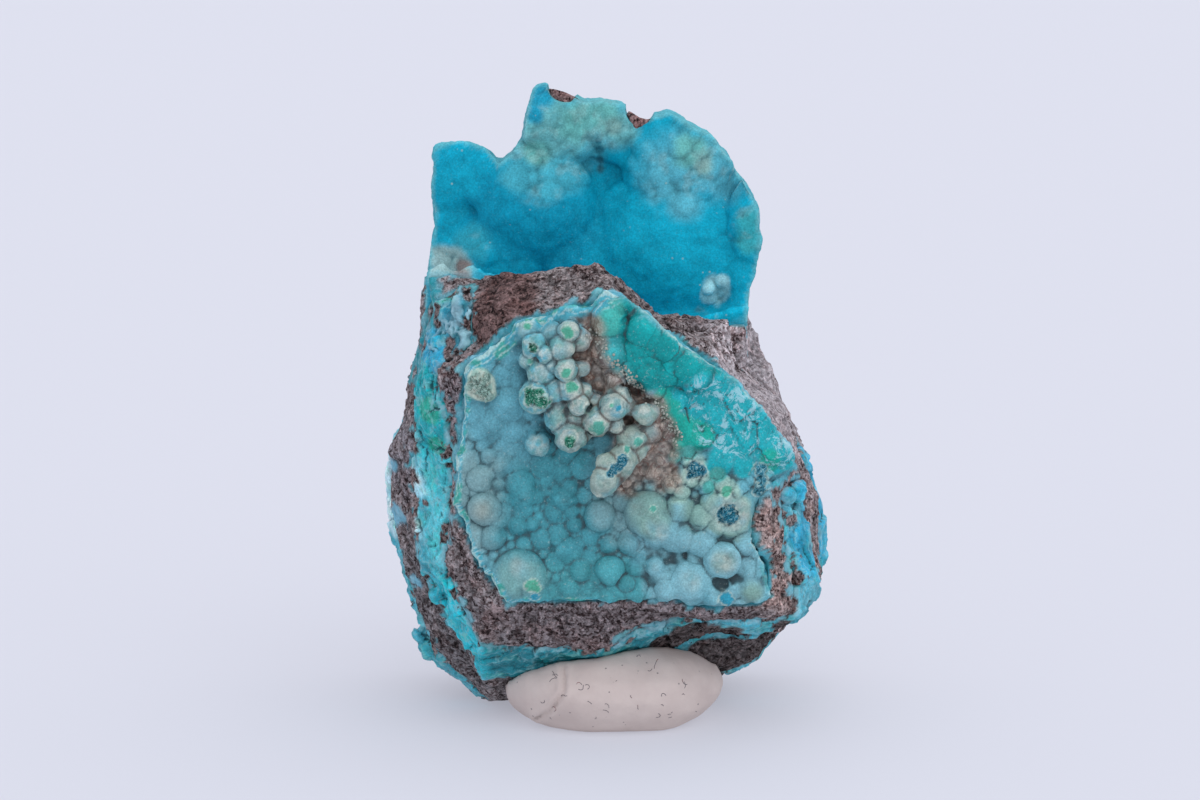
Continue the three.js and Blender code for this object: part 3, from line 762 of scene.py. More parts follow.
# Smooth folds, like a thick curtain: (x, z), radii across and up, how far each stands out.
FOLDS = [
    (0, 54.1, 1.7, 2.6, 1.3), (1.9, 53.4, 0.9, 2, 0.9), (4.3, 52.8, 2.1, 1.9, 1.3),
    (6.8, 51.4, 2.2, 1.9, 1.7), (3.6, 50, 1.9, 1.8, 1.7), (5.1, 48, 2.1, 2.1, 2.2),
    (0.6, 50.6, 1.5, 2, 0.8), (9.2, 49.2, 2.3, 1.9, 1.4), (7.4, 46.9, 1.7, 1.7, 1.4),
    (11.8, 46.9, 2.5, 1.8, 0.9), (1.6, 56.4, 1.8, 0.9, 0.8), (2.1, 48, 1.2, 1.4, 1.0),
]
FOLD_SINK = 0.3  # how deep behind the face a fold's middle lies
FOLD_SWELL = 1.4  # makes up for what the smoothing takes off
FOLD_DOMES = [  # (x, z), radius, share of height
    (0.4, 54.6, 2.4, 0.28), (0.6, 50.8, 2.6, 0.26), (1.2, 47.8, 1.8, 0.26), (5.1, 53.4, 2.8, 0.42),
    (8.4, 51.5, 2.7, 0.4), (4.1, 50.9, 2.2, 0.46), (4.6, 48.3, 2.6, 0.5), (5.6, 46.2, 1.9, 0.4),
    (7.8, 48.6, 2.3, 0.4), (10.6, 48.4, 3, 0.3),
]
RIDGE = {"from": (6.6, 45.3), "to": (10.4, 40.2), "radius": 1.25, "proud": 1.2, "balls": 9}
RIDGE_LUMPS = [(8.6, 37, 1, 0.9), (9.3, 38.7, 1.1, 1.1), (11.2, 39.4, 1.2, 1.2), (12.6, 39.3, 1.2, 1.1),
               (10.3, 37.6, 1, 0.8), (12.7, 33.1, 1.1, 0.9)]
# Smaller round lumps, written as the masses are.
LUMPS = [
    (6.2, 23, 1.3, 1.25), (3.6, 22.7, 1.1, 0.9), (16, 20, 1.25, 1.1), (18.1, 20, 1.7, 0.85),
    (15.1, 18.9, 1.1, 1.2), (-14.8, 36.9, 1.1, 0.8), (-13.7, 33.5, 1, 0.7), (-4.7, 32.6, 1.2, 0.8),
    (-6.6, 29.5, 1.5, 0.6), (-4.5, 29.7, 1.2, 0.8), (-4.1, 28, 1.1, 0.8), (-9.4, 28.1, 1, 0.7),
    (-11.3, 27.9, 1.3, 0.7), (-9, 31.5, 1.2, 0.6), (0.3, 25.4, 1.4, 0.6), (2.8, 25.6, 1.5, 0.6),
    (2.5, 20.8, 1.2, 0.7), (-3.3, 22.1, 1.5, 0.6), (-4.7, 19.9, 1.5, 0.5), (2.2, 35, 1.2, 0.6),
    (7.2, 36.4, 1, 0.6), (5.8, 34.7, 1.1, 0.7), (1.5, 38.6, 1, 0.6), (3.2, 47, 0.8, 0.4),
    (-0.8, 46.4, 1, 0.5), (-1.6, 50.2, 0.9, 0.5),
]
RAGGED_LUMP = [(-15.9, 46.9, 1.7, 1.1), (-15.1, 45.4, 1.4, 1.1), (-16.4, 45.6, 1.2, 0.9)]
RAGGED_SPOTS = [(-15.9, 46.6, 2.2), (-15.2, 45.3, 1.9)]  # its own tone covers these

# Hollows pressed into the face: (x, z), radius, depth.
PITS = [(3.7, 45.8, 1.1, 1.3), (2.4, 54.5, 0.5, 0.5), (-1.9, 40.4, 0.5, 0.6), (-2.2, 43.5, 0.5, 0.8),
        (11.2, 35.3, 1.35, 0.8), (15.3, 29.7, 1.5, 0.8), (-9.1, 51.4, 0.5, 0.5)]
# Small hollows that are kept free of domes: (x, z), radius.
RECESSES = [(8.3, 23.8, 0.8), (9.9, 24.3, 0.5), (14.4, 21, 0.8), (15.9, 21.5, 0.6)]
RECESS_DEPTH = 0.5
LOBES = [  # large domes that the small ones crowd about: (x, z), radius, share of height
    (5.3, 29.5, 3.1, 0.34), (9.3, 30.4, 1.9, 0.42), (8.8, 26.8, 2.2, 0.36), (12.2, 25.8, 1.9, 0.34),
    (11.9, 29.3, 1.7, 0.42), (13.2, 31.2, 1.4, 0.4), (13.6, 27.9, 1.5, 0.36), (14.6, 23.7, 2.5, 0.55),
    (17.5, 26, 1.7, 0.4), (17.7, 22.8, 1.6, 0.35), (10.7, 20.8, 2.8, 0.44), (7.7, 20, 1.7, 0.45),
    (13.1, 19.3, 1.5, 0.35), (3.3, 26, 1.9, 0.36), (0.5, 22.4, 1.9, 0.5), (3.6, 20.1, 1.7, 0.4),
    (-0.8, 29.2, 2, 0.42), (-11.1, 21.7, 3.5, 0.3), (-15.4, 30.3, 2.1, 0.5), (-15.8, 34.2, 1.8, 0.5),
    (-10.9, 33.4, 1.9, 0.44), (-14.3, 26.7, 1.8, 0.44), (-6.2, 29.6, 1.7, 0.4), (-12.9, 37.4, 1.7, 0.3),
    (-8, 35.6, 1.8, 0.34),
]
FACE_CROWD = {"seed": 41, "tries": 9000, "area": (-19, 20, 18, 57)}  # area: left, right, low, high
# The brown part's border with the green folds, beset with tiny nodules.
NODULE_LINE = [(-1.8, 53.3), (0.5, 49.2), (2.8, 48), (3.8, 46), (6.7, 43.5), (8.2, 41), (8.6, 39)]
NODULES = {"count": 170, "seed": 17, "spread": 0.5, "radii": (0.08, 0.2)}

FACE_TONES = [
    ((122, 160, 163), 0.9, [(-16.5, 37, 4), (-15.5, 32, 4), (-15.5, 28, 3.4)]),
    ((136, 154, 149), 1.4, [(-15.6, 30.4, 1.2)]),
    ((98, 163, 176), 0.9, [(-14, 45, 5), (-14.5, 41, 4), (-12, 48, 4), (-10, 41, 3)]),
    ((70, 148, 158), 0.9, [(-8, 27, 5.5), (-3, 25, 6), (-9, 32, 4.5), (-5, 30, 5), (-6, 36, 4)]),
    ((72, 152, 158), 0.8, [(-6, 20, 4), (0, 20.5, 4), (5, 20, 3.5)]),
    ((116, 158, 162), 0.9, [(3, 31, 5), (7, 32, 4.5), (2, 35, 3)]),
    ((124, 178, 187), 0.7, [(8, 27, 4.5), (12, 25, 5), (16.5, 25, 4.5), (9, 21.5, 4), (16.5, 20, 3.5)]),
    ((112, 160, 158), 1.1, [(-11.1, 21.7, 3)]),
    ((142, 168, 164), 1.4, [(-11.2, 23.2, 0.9)]),
    ((124, 164, 154), 1, [(5.4, 29.8, 2.6), (14.7, 23.8, 1.3), (18.4, 19.5, 1.3), (11.5, 30, 2)]),
    ((146, 182, 170), 0.5, [(15.4, 30, 3.2), (11.2, 35.2, 2.3), (9.3, 33.2, 1.8), (15.1, 32.8, 1.8)]),
]
BROWN_PART = [
    (-2.2, 51, 2.2), (-1.6, 54, 1.4), (-1.2, 48.5, 2.2), (0.5, 46.6, 2.2), (2.5, 45, 2),
    (5.2, 43.4, 2.2), (2.5, 42.6, 3), (6.8, 40.4, 2.2), (6.3, 37.6, 2.6), (3, 39.5, 2.6),
    (4.5, 35.6, 2.4), (2, 33.8, 2), (7.4, 34.8, 2.2),
]
FOLD_TONES = [
    ((6, 146, 146), 0.35, [(2, 55, 2.2), (4, 52.5, 2.6), (3.6, 50, 2.3), (5, 48, 2.5), (7, 50.6, 2.8),
                            (8, 47.5, 2.3), (10, 48.6, 2.4), (12.4, 46.8, 2.5)]),
    ((58, 160, 150), 0.5, [(-0.2, 54, 1.8), (0.6, 56, 1.6)]),
    ((54, 160, 162), 0.5, [(0.8, 50.8, 1.6), (1.6, 48.6, 1.3)]),
    ((30, 170, 178), 0.35, [(12.5, 44, 3.6), (16, 42.5, 3.6), (13.5, 40.8, 2.6), (18.6, 40, 3.4),
                            (16, 38.8, 2.8), (21.5, 37.8, 3), (14.4, 36.6, 2), (17.2, 36, 1.6),
                            (9.6, 44.6, 1.8)]),
    ((24, 168, 152), 0.35, [(7, 44.9, 1.2), (8.1, 43.3, 1.3), (9.4, 41.6, 1.4), (10.4, 40.2, 1.5),
                            (12, 39.4, 1.5), (9.3, 38.7, 1), (20.6, 36.6, 1.4)]),
    ((84, 176, 168), 0.4, [(8.6, 37, 1), (10.4, 37.6, 0.9), (14, 34.8, 1), (12.8, 33.2, 0.8)]),
]
SMOOTH_PART = [spot for _, _, spots in FOLD_TONES for spot in spots]
# The cores of the knobs that are worn or broken open.
CORES = [
    ((84, 172, 144), 0.3, [(-9.8, 54, 0.4), (-4.8, 53.4, 0.7), (-5, 48.3, 0.65), (-4.3, 46.4, 0.65),
                           (15.1, 32.7, 0.7), (-9.2, 20.7, 0.85), (0.6, 44.3, 0.35)]),
    ((88, 168, 150), 0.3, [(-1.1, 41.3, 0.95), (-9.5, 49.6, 0.35), (4, 39.4, 0.6), (5.8, 30.6, 0.4),
                           (2.6, 38.6, 0.4)]),
    ((46, 152, 176), 0.3, [(1.5, 43.9, 0.4), (15.1, 18.9, 0.85), (-9, 19.1, 0.5)]),
    ((44, 140, 112), 0.3, [(-8.9, 45.3, 1.15), (-8, 44.6, 0.9), (-9.1, 51.4, 0.55), (-4.5, 39.4, 0.7)]),
    ((34, 128, 152), 0.3, [(11.2, 35.3, 1.15), (15.3, 29.7, 1.3), (2.1, 37.3, 0.6), (1.3, 36.5, 0.65),
                           (0.6, 35.8, 0.45), (1.7, 36.9, 0.6), (0.95, 36.15, 0.55)]),
    ((58, 150, 172), 0.3, [(19.4, 35.4, 0.8), (19.5, 34, 0.7), (19.3, 32.6, 0.75)]),
]
# Where the crust is broken through and its crystals show.
CUTS = [spot for _, _, spots in CORES[3:] for spot in spots] + [(-15.9, 46.7, 1.4), (-15.2, 45.3, 1)]
# The flat scratched plate at the right.
PLATE = [
    (12.5, 44, 3.4), (16, 42.5, 3.4), (13.5, 40.8, 2.4), (18.6, 40, 3.2), (16, 38.8, 2.6),
    (21.5, 37.8, 2.8),
]


def face_y(x, z):
    """Where the show face lies, dished in the middle and turning away at the right."""
    away = math.hypot(x - FACE_DISH["x"], z - FACE_DISH["z"]) / FACE_DISH["radius"]
    return (FACE_FRONT + FACE_DISH["depth"] * math.exp(-away * away)
            + max(0, x - FACE_SLOPE["from"]) * FACE_SLOPE["rate"])


def finger_lumps():
    """The centre and radius of each lump along the finger."""
    root, tip = Vector(FINGER["root"]), Vector(FINGER["tip"])
    for along, aside, radius in FINGER["lumps"]:
        middle = root.lerp(tip, along)
        yield (middle.x + aside, middle.y, middle.z - aside), radius


def knob_places():
    """Each knob's centre and radius."""
    places = []
    for i, (x, z, radius, length, _, _) in enumerate(STALKS):
        stands_out = min(length + (i * 7 % 3 - 1) * STALK_STAGGER, STALK_LONGEST)
        places.append(((x, face_y(x, z) - stands_out + radius, z), radius * KNOB_SWELL))
    return places


def knob_gaps(points):
    """How far each point is from the nearest knob and from the next one."""
    knobs = knob_places() + list(finger_lumps())
    away = np.stack([np.linalg.norm(points - centre, axis=1) - radius for centre, radius in knobs])
    away.sort(axis=0)
    return away[0], away[1]


def dome_zone(x, z):
    """The least and greatest domes at a place on the face and their share of height, or nothing."""
    if within(x, z, SMOOTH_PART):
        return None
    if x < -10 and z > 39:  # the upper left
        return 1.4, 3, 0.16
    if x < -9:  # the rest of the left
        return 0.7, 2.4, 0.36
    if x > 4 and z < 32:  # the lower right
        return 1.2, 3, 0.2
    if x > -2 and z > 32:  # the brown part
        return 0.5, 1.3, 0.42
    return 0.5, 2, 0.34


def add_face_ball(form, x, z, radius, proud, fineness=3):
    """A ball that stands out of the face by a share of its radius."""
    add_ball(form, (x, face_y(x, z) + radius * (1 - proud), z), radius, fineness=fineness)


def face_form():
    form = packed_form("front_crust")
    for mass in MASSES:
        add_face_ball(form, *mass, fineness=4)
    for x, z, across, up, proud in FOLDS:
        radii = (across, proud * FOLD_SWELL + FOLD_SINK, up)
        add_ball(form, (x, face_y(x, z) + FOLD_SINK, z), 1, radii, fineness=4)
    for i in range(RIDGE["balls"]):
        share = i / (RIDGE["balls"] - 1)
        x, z = (a + (b - a) * share for a, b in zip(RIDGE["from"], RIDGE["to"]))
        add_face_ball(form, x, z, RIDGE["radius"], RIDGE["proud"])
    form = softened(form, FACE_BASE_VOXEL, 4)
    for lump in LUMPS + RAGGED_LUMP + RIDGE_LUMPS:
        add_face_ball(form, *lump)
    for (x, z, radius, length, lean_x, lean_z), (centre, swollen) in zip(STALKS, knob_places()):
        root = (x - lean_x * length, face_y(x, z) + FACE_ROOT, z - lean_z * length)
        add_rod(form, root, centre, *(radius * share for share in STALK_TAPER))
        add_ball(form, centre, swollen)
    add_rod(form, FINGER["root"], FINGER["tip"], *FINGER["radii"])
    for centre, radius in finger_lumps():
        add_ball(form, centre, radius)
    return form


def nodules(crust):
    """Tiny round beads along the border of the brown part."""
    surface = tree_of(crust)
    form = bmesh.new()
    draw = random.Random(NODULES["seed"])
    for _ in range(NODULES["count"]):
        at = draw.uniform(0, len(NODULE_LINE) - 1.001)
        (x0, z0), (x1, z1) = NODULE_LINE[int(at):int(at) + 2]
        x = x0 + (x1 - x0) * (at % 1) + draw.gauss(0, NODULES["spread"])
        z = z0 + (z1 - z0) * (at % 1) + draw.gauss(0, NODULES["spread"])
        spot = landing(surface, x, z)
        radius = draw.uniform(*NODULES["radii"])
        add_ball(form, (x, spot.y - radius * 0.5, z), radius, fineness=2)
    beads = new_piece("crust_nodules", form)
    beads.data.shade_smooth()
    finish = Finish("nodule")
    colour = finish.ramp(finish.cloud(1.2, detail=3), (0.35, paint(146, 148, 140)),
                         (0.65, paint(184, 190, 178)))
    beads.data.materials.append(finish.surface(colour, 0.7, Specular_IOR_Level=0.2))
    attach(beads, "root")


def crust_material():
    """The show face: soft tones, a sandy brown part, crystals where it is cut and a scratched plate."""
    crust = Finish("face_crust")
    # its first colour is the painted shade in the crust's creases
    colour = crust_look(crust, paint(66, 84, 88), paint(188, 208, 202))
    sand = crust.grains(3)
    sandy = crust.ramp(sand, (0.05, paint(206, 189, 173)), (0.4, paint(190, 167, 151)),
                       (0.75, paint(166, 141, 125)))
    sandy = crust.mottled(sandy, 0.9, 5, 0.65, 0.56, 1.06)
    # painted shade in the sandy part's hollows and painted light on its tops
    sandy = crust.shaded(sandy, crust.span(crust.mask("relief"), 0.32, 0.64, 0.36, 1.24))
    wander = crust.cloud(0.45, detail=5, warp=1.2)
    rust = crust.product(crust.span(wander, 0.47, 0.5), crust.span(wander, 0.54, 0.51))
    sandy = crust.mix(crust.product(rust, 0.8), sandy, paint(122, 74, 56))
    colour = crust.mix(crust.mask("stain"), colour, sandy)
    scratch = crust.span(crust.cloud(0.55, detail=7, roughness=0.78, warp=0.8), 0.52, 0.58, 0, 0.85)
    colour = crust.mix(crust.product(crust.mask("plate"), scratch), colour, paint(160, 208, 216))
    crystal = crust.cloud(1.3, detail=6, roughness=0.7, warp=2.5)
    cut_colour = crust.shaded(crust.tone(), crust.span(crystal, 0.38, 0.54, 0.25, 1.15))
    cut_colour = crust.mix(crust.span(crystal, 0.52, 0.6, 0, 0.85), cut_colour, paint(184, 212, 202))
    cut = crust.mask("cut")
    colour = crust.mix(cut, colour, cut_colour)
    crust.bump((crust.cloud(1.5, detail=5, roughness=0.65), 0.4, 0.25),
               (crust.cloud(6, detail=2), 0.35, 0.08),
               (crust.product(crust.mask("stain"), sand), -0.35, 0.3),
               (crust.product(cut, crystal), 0.8, 0.4))
    return crust.surface(colour, crust.span(cut, 0, 1, 0.6, 0.3), Specular_IOR_Level=0.22)


def face_rim(skin, depth_inside, flat):
    """Turquoise, green and pale layers along the broken edge, where no knob stands."""
    back = skin.y - np.array([face_y(x, z) for x, _, z in skin.points])
    wave = skin.ripple(0.4, 4, 7.4)
    left = 1 - step(skin.x, 0, 2.5)
    high = step(skin.z, 44, 52) * left
    width = 0.45 + 0.25 * left + 1.1 * high + 0.4 * wave
    band = depth_inside / width + skin.ripple(0.9, 3, 1.4) * 0.25
    rim = (1 - step(band, 0.75, 1.1)) * flat * (0.35 + 0.65 * left)
    skin.blend((72, 168, 184), rim * 0.85)
    skin.blend((60, 158, 138), rim * step(wave, 0.12, 0.3) * 0.8)
    skin.blend((196, 222, 218), rim * step(np.sin(band * 14 + wave * 5), 0.45, 0.9) * 0.55)
    skin.blend((186, 212, 202), (1 - step(band, 0.05, 0.3)) * step(-wave, -0.45, 0.1) * 0.7)
    wall = (1 - step(depth_inside, 0.05, 0.2)) * step(back, 0.25, 0.5)
    skin.blend((60, 154, 176), wall * 0.8)
    skin.blend((132, 190, 206), wall * step(np.sin(back * 5 + wave * 3), 0.3, 0.8) * 0.7)


def knob_tones(skin, out, relief, crevice_shade):
    """Pale knobs with cream tops, partly painted highlight, and rings; painted shade between them, rusty
    but at the left.
    """
    near_knob, next_knob = knob_gaps(skin.points)
    crowded = 1 - step(next_knob, 0.8, 2)
    gaps = step(near_knob, 0.15, 0.7) * crowded
    knob_seam_shade = (1 - step(next_knob - near_knob, 0.05, 0.35)) * crowded * (1 - step(near_knob, 0.3, 0.8))
    skin.blend((146, 172, 168), out)
    skin.blend((88, 176, 190), out * step(-skin.x, 4, 8) * 0.8)
    skin.blend((72, 170, 190), out * step(skin.ripple(0.35, 2, 1.3), 0.1, 0.4) * 0.5)
    cream = step(skin.ripple(0.6, 4, 3.7), -0.25, 0.35)
    # cream spots, stronger on raised tops as painted highlight
    skin.blend((204, 206, 190), out * cream * (0.3 + 0.4 * step(relief, -0.05, 0.12)))
    ring = np.exp(-((skin.facing() - 0.8) / 0.07) ** 2) * (1 - step(near_knob, 0.1, 0.3))
    skin.blend((216, 218, 202), out * ring * step(skin.ripple(0.7, 3, 6.2), -0.2, 0.2) * 0.5)
    skin.blend((96, 158, 150), out * step(skin.ripple(0.8, 3, 4.9), 0.1, 0.35) * 0.5)
    on_finger = 1 - step(skin.line_distance(FINGER_LINE)[0], 1.6, 2.4)
    skin.blend((150, 168, 154), out * on_finger * 0.6)
    rusty = step(skin.x + skin.ripple(0.4, 3, 5.3) * 2, -7, -3.5)
    # painted shade in the gaps and seams between knobs: teal at the left, rust brown elsewhere
    skin.blend((40, 84, 94), np.maximum(gaps * 0.8, knob_seam_shade * 0.6) * (1 - rusty))
    skin.blend((86, 62, 52), np.maximum(gaps * 0.9, knob_seam_shade * 0.75) * rusty)
    # painted shade in crevices, brownish
    skin.blend((88, 76, 71), np.maximum(out, 0.4 * step(skin.x, -6, -3)) * crevice_shade * 0.7)


def core_tones(skin, front, proud):
    """The pale ragged lump, and the cores of the open knobs with a pale border about each."""
    frayed = skin.ripple(1.0, 3, 8.2) * 0.5
    lump = skin.patch(RAGGED_SPOTS, 0.3) * step(proud, 0.3, 1)
    skin.blend((150, 186, 172), lump)
    skin.blend((206, 218, 200), lump * step(skin.ripple(1.1, 3, 9.2), 0, 0.3) * 0.8)
    wide = [(x, z, radius * 1.25) for _, _, spots in CORES for x, z, radius in spots]
    skin.blend((192, 212, 198), skin.patch(wide, 0.2, frayed * 0.8) * front * 0.7)
    skin.blend_zones(CORES, frayed)


def face_piece():
    piece = fused("front_crust_skin", face_form(), FACE_VOXEL)
    skin = Skin(piece)
    skin.smooth(1)
    ragged = skin.ripple(0.45, 3, 2.2) * 0.3
    front = step(skin.facing(), 0.0, 0.4)
    proud = np.array([face_y(x, z) - y for x, y, z in skin.points])
    out = step(proud, 1.3, 2.4)
    taken = [spot[:3] for spot in LUMPS + RAGGED_LUMP]
    kept_free = taken + [spot[:3] for spot in LOBES] + RECESSES
    crowd = scattered(zone=dome_zone, taken=kept_free, **FACE_CROWD)
    up, size, seam, dome = skin.dome_field(LOBES + crowd)
    fold_up, fold_size, fold_seam, _ = skin.dome_field(FOLD_DOMES)
    folded = skin.patch([spot[:3] for spot in FOLD_DOMES], 0.1) * front * (1 - out)
    smooth_part = skin.patch(SMOOTH_PART, 0.3, ragged)
    marked = 0.35 + 0.65 * step(skin.ripple(0.13, 3, 5.1), -0.3, 0.3)
    domed = (1 - out) * front * (1 - smooth_part) * (1 - skin.patch(taken, 0.8))
    plate = skin.patch(PLATE, 0.4, ragged)
    recessed = skin.patch(RECESSES, 1.2, ragged) * (1 - step(seam, 0.02, 0.3)) * front
    skin.push(domed * up * size * marked + folded * fold_up * fold_size - recessed * RECESS_DEPTH)
    skin.push(skin.ripple(0.25, 3, 6.1) * 0.18 + skin.ripple(1.4, 2) * 0.05)
    # broken facets on the plate and, finer, on the knobs
    skin.push(plate * (skin.breakage(0.3, 4.4) * 1.1 + skin.breakage(0.8, 1.4) * 0.35))
    skin.push(out * (skin.breakage(0.8, 2.9) * 0.24 + skin.ripple(0.6, 2, 7.7) * 0.2))
    for x, z, radius, depth in PITS:
        skin.points[:, 1] += skin.patch([(x, z, radius)], 0.7) * front * depth
    cut = skin.patch(CUTS, 0.3, ragged * 0.9) * front
    skin.push(cut * skin.breakage(1.5, 2.2) * 0.9)
    depth_inside = skin.trim(FACE_OUTLINE, np.full(len(skin.points), True))
    skin.fray(depth_inside)
    relief = skin.relief(4)
    crease_shade = step(-skin.relief(12), 0.015, 0.12)
    sunken = -skin.relief(30)
    crevice_shade = step(sunken, 0.02, 0.28)
    skin.tint((94, 160, 172))
    skin.blend_zones(FACE_TONES, ragged)
    # tone varies at random from dome to dome; painted light on each dome's top and painted shade toward
    # its edge
    skin.shade(1 + domed * (per_dome(dome, -0.08, 0.08) + (up - 0.72) * 0.5 * marked))
    # painted shade along the seams between domes
    skin.blend((56, 102, 110), domed * marked * (1 - step(seam, 0.02, 0.15)) * 0.4)
    # painted shade in creases
    skin.blend((52, 100, 110), crease_shade * (1 - out) * (1 - smooth_part) * (1 - plate) * 0.6)
    knob_tones(skin, out, relief, crevice_shade)
    # painted shade in crevices
    skin.shade(1 - 0.22 * crevice_shade * (1 - smooth_part))
    # painted shade in deep hollows, pits and recesses
    skin.blend((66, 68, 70), np.maximum(step(sunken, 0.3, 0.65), recessed * 0.4) * (1 - smooth_part) * 0.7)
    skin.blend_zones(FOLD_TONES, ragged)
    # painted light on the fold tops and painted shade low on the folds
    skin.shade(1 + folded * (fold_up - 0.66) * 0.8)
    # painted shade in the creases between folds
    skin.blend((8, 92, 94), folded * (1 - step(fold_seam, 0.03, 0.22)) * 0.6)
    face_rim(skin, depth_inside, 1 - step(proud, 0.9, 1.6))
    core_tones(skin, front, proud)
    # relief, which the materials turn into painted shade in creases and painted light on tops
    skin.keep("relief", 0.5 + relief * 2.2)
    skin.keep("plate", plate)
    skin.keep("stain", skin.patch(BROWN_PART, 0.7, ragged) * (1 - out) * 0.8)
    skin.keep("cut", cut)
    skin.finish()
    piece.data.materials.append(crust_material())
    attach(piece, "root")
    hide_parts("front_crust")
    nodules(piece)


# ---------------------------------------------------------------- the hollow's crust
HOLLOW_VOXEL = 0.28
HOLLOW_BASE_VOXEL = 0.42  # for its big lobes, which are smoothed first
HOLLOW_START = -1  # a y in front of the wall but behind the show face
HOLLOW_FOOT = 50  # z above which it keeps to the slab's outline
# Where the crust is broken back from the slab's top edge: [x, z, radius].
NOTCHES = [(-5.4, 81.6, 2.2), (4.4, 78.3, 1.9)]
# Big soft lobes on the wall: (x, z), radius, how far it stands out.
HOLLOW_LOBES = [
    (-9.1, 66, 7.5, 1.4), (-14.1, 57.5, 5.5, 1), (-2.1, 57.5, 6.5, 1.3), (8.9, 60, 9.5, 1.9),
    (9.4, 71, 6.5, 1.2), (-5.6, 76.5, 4.5, 0.7), (0.9, 75.5, 4, 0.6), (2.4, 65, 3.6, 0.8),
    (0.6, 70.6, 3.6, 0.8), (-3.8, 71.6, 2.6, 0.6), (-14, 68.5, 4, 0.8), (-6, 64.3, 4, 1),
    (-17.2, 61.1, 2.8, 0.8), (-8, 59.3, 2.4, 0.7), (0.2, 64.3, 2.4, 0.7), (10.3, 57.3, 4, 0.8),
    (5.5, 61.5, 3, 0.7), (13.5, 62, 3, 0.6), (4.5, 71, 2.6, 0.7), (14.4, 68, 3, 0.7),
    (-11, 62.5, 3, 0.7), (-2.5, 68, 2.6, 0.7), (-20.5, 69, 4, 0.5), (6, 75, 2.5, 0.6),
    (12, 74.5, 2.5, 0.5), (5, 56, 3, 0.6), (-11.5, 56, 2.5, 0.6), (16, 57, 2.4, 0.5),
]
LOBE_FLATNESS = 0.5  # a lobe's depth as a share of its radius
LOBE_SWELL = 1.25  # makes up for what the smoothing takes off
HOLLOW_CROWD = {"seed": 7, "tries": 9000, "area": (-23, 20, 49, 82)}  # area: left, right, low, high
# Where it is a crowd of small pale domes.
KNOBBY = [
    (-8.5, 70.5, 3.6), (-5, 72, 3.4), (-8.5, 75.5, 3.8), (-4.5, 76.5, 3.6), (-1, 77, 3), (1.5, 76, 2.4),
    (10, 71, 4.2), (13, 71.5, 3.6), (7, 68.5, 1.8), (9.8, 68, 1.6), (18, 65, 1.8), (18, 62, 1.7),
    (-19.5, 59.6, 2.4), (-17, 60.2, 1.8), (14, 54.6, 1.7), (13, 52.4, 1.3), (10.5, 75, 2.4),
]
PEBBLES = [(14.4, 55.3, 1.2), (13.5, 54.3, 0.95), (15, 56.4, 0.8), (13.3, 55.5, 0.7)]  # (x, z), radius
PEBBLE_RISE = 1.4  # how far in front of the wall a pebble stands
HOLLOW_TONES = [
    ((8, 146, 174), 0.8, [(-9, 64, 7), (-16, 66, 5), (-5, 60, 5)]),
    ((10, 164, 190), 0.8, [(9, 60, 8), (8, 56, 7), (12, 64, 5), (2, 56, 5)]),
    ((14, 160, 186), 0.6, [(-20, 70, 4), (-21, 65, 3)]),
    ((84, 172, 188), 0.9, [(9, 71, 4.6), (12.5, 71.5, 4), (6.5, 68.5, 2), (10, 67, 2.4), (15, 69, 2.4)]),
    ((66, 166, 182), 0.8, [(-8, 70, 3.4), (-5, 71.5, 3.4), (-11.5, 70, 2.2), (-3, 73, 2.4)]),
    ((100, 172, 174), 0.8, [(-8.5, 75.5, 3.8), (-5, 76.5, 3.6), (-1, 77, 3), (1.5, 76, 2.4)]),
    ((98, 172, 166), 0.9, [(-4, 77.2, 2.4), (-0.5, 77.8, 2), (-9, 73, 1.6), (11, 73.4, 2.2)]),
    ((120, 166, 160), 1.2, [(12.5, 71.3, 1.2), (0.8, 76.2, 1.1)]),
    ((28, 150, 178), 0.8, [(-8.6, 80.6, 1.7), (-9.4, 78, 1.2)]),
    ((52, 164, 172), 0.7, [(18.6, 64.4, 2), (18.5, 61.8, 1.6)]),
    ((44, 158, 176), 0.9, [(-17.6, 61, 2.4)]),
    ((140, 172, 170), 0.7, [(-21, 58.6, 2), (-19.4, 58.2, 1.8)]),
    ((136, 124, 118), 0.8, [(-18.6, 57.9, 1.1)]),
    ((150, 206, 212), 0.4, [(14.2, 55.2, 1.9), (15, 56.4, 1)]),
    # painted shade: a dark line down a groove
    ((44, 116, 130), 0.9, [(-1, 74.4, 0.5), (-0.9, 73.2, 0.6), (-0.8, 71.8, 0.5), (-0.8, 70.4, 0.5)]),
]


def hollow_form():
    form = packed_form("upper_crust")
    wall = tree_of_nodes("upper_crust")
    for x, z, radius, proud in HOLLOW_LOBES:
        spot = landing(wall, x, z, HOLLOW_START)
        if spot is not None:
            y = spot.y + radius * LOBE_FLATNESS - proud * LOBE_SWELL
            add_ball(form, (x, y, z), radius, (1, LOBE_FLATNESS, 1), fineness=4)
    form = softened(form, HOLLOW_BASE_VOXEL, 16)
    for x, z, radius in PEBBLES:
        spot = landing(wall, x, z, HOLLOW_START)
        if spot is not None:
            add_ball(form, (x, spot.y - PEBBLE_RISE - radius * 0.3, z), radius)
    return form


def hollow_zone(x, z):
    """The least and greatest of the fine domes at a place on the wall and their share of height."""
    if within(x, z, KNOBBY):
        return 0.7, 2, 0.24
    return 1.2, 3.6, 0.12


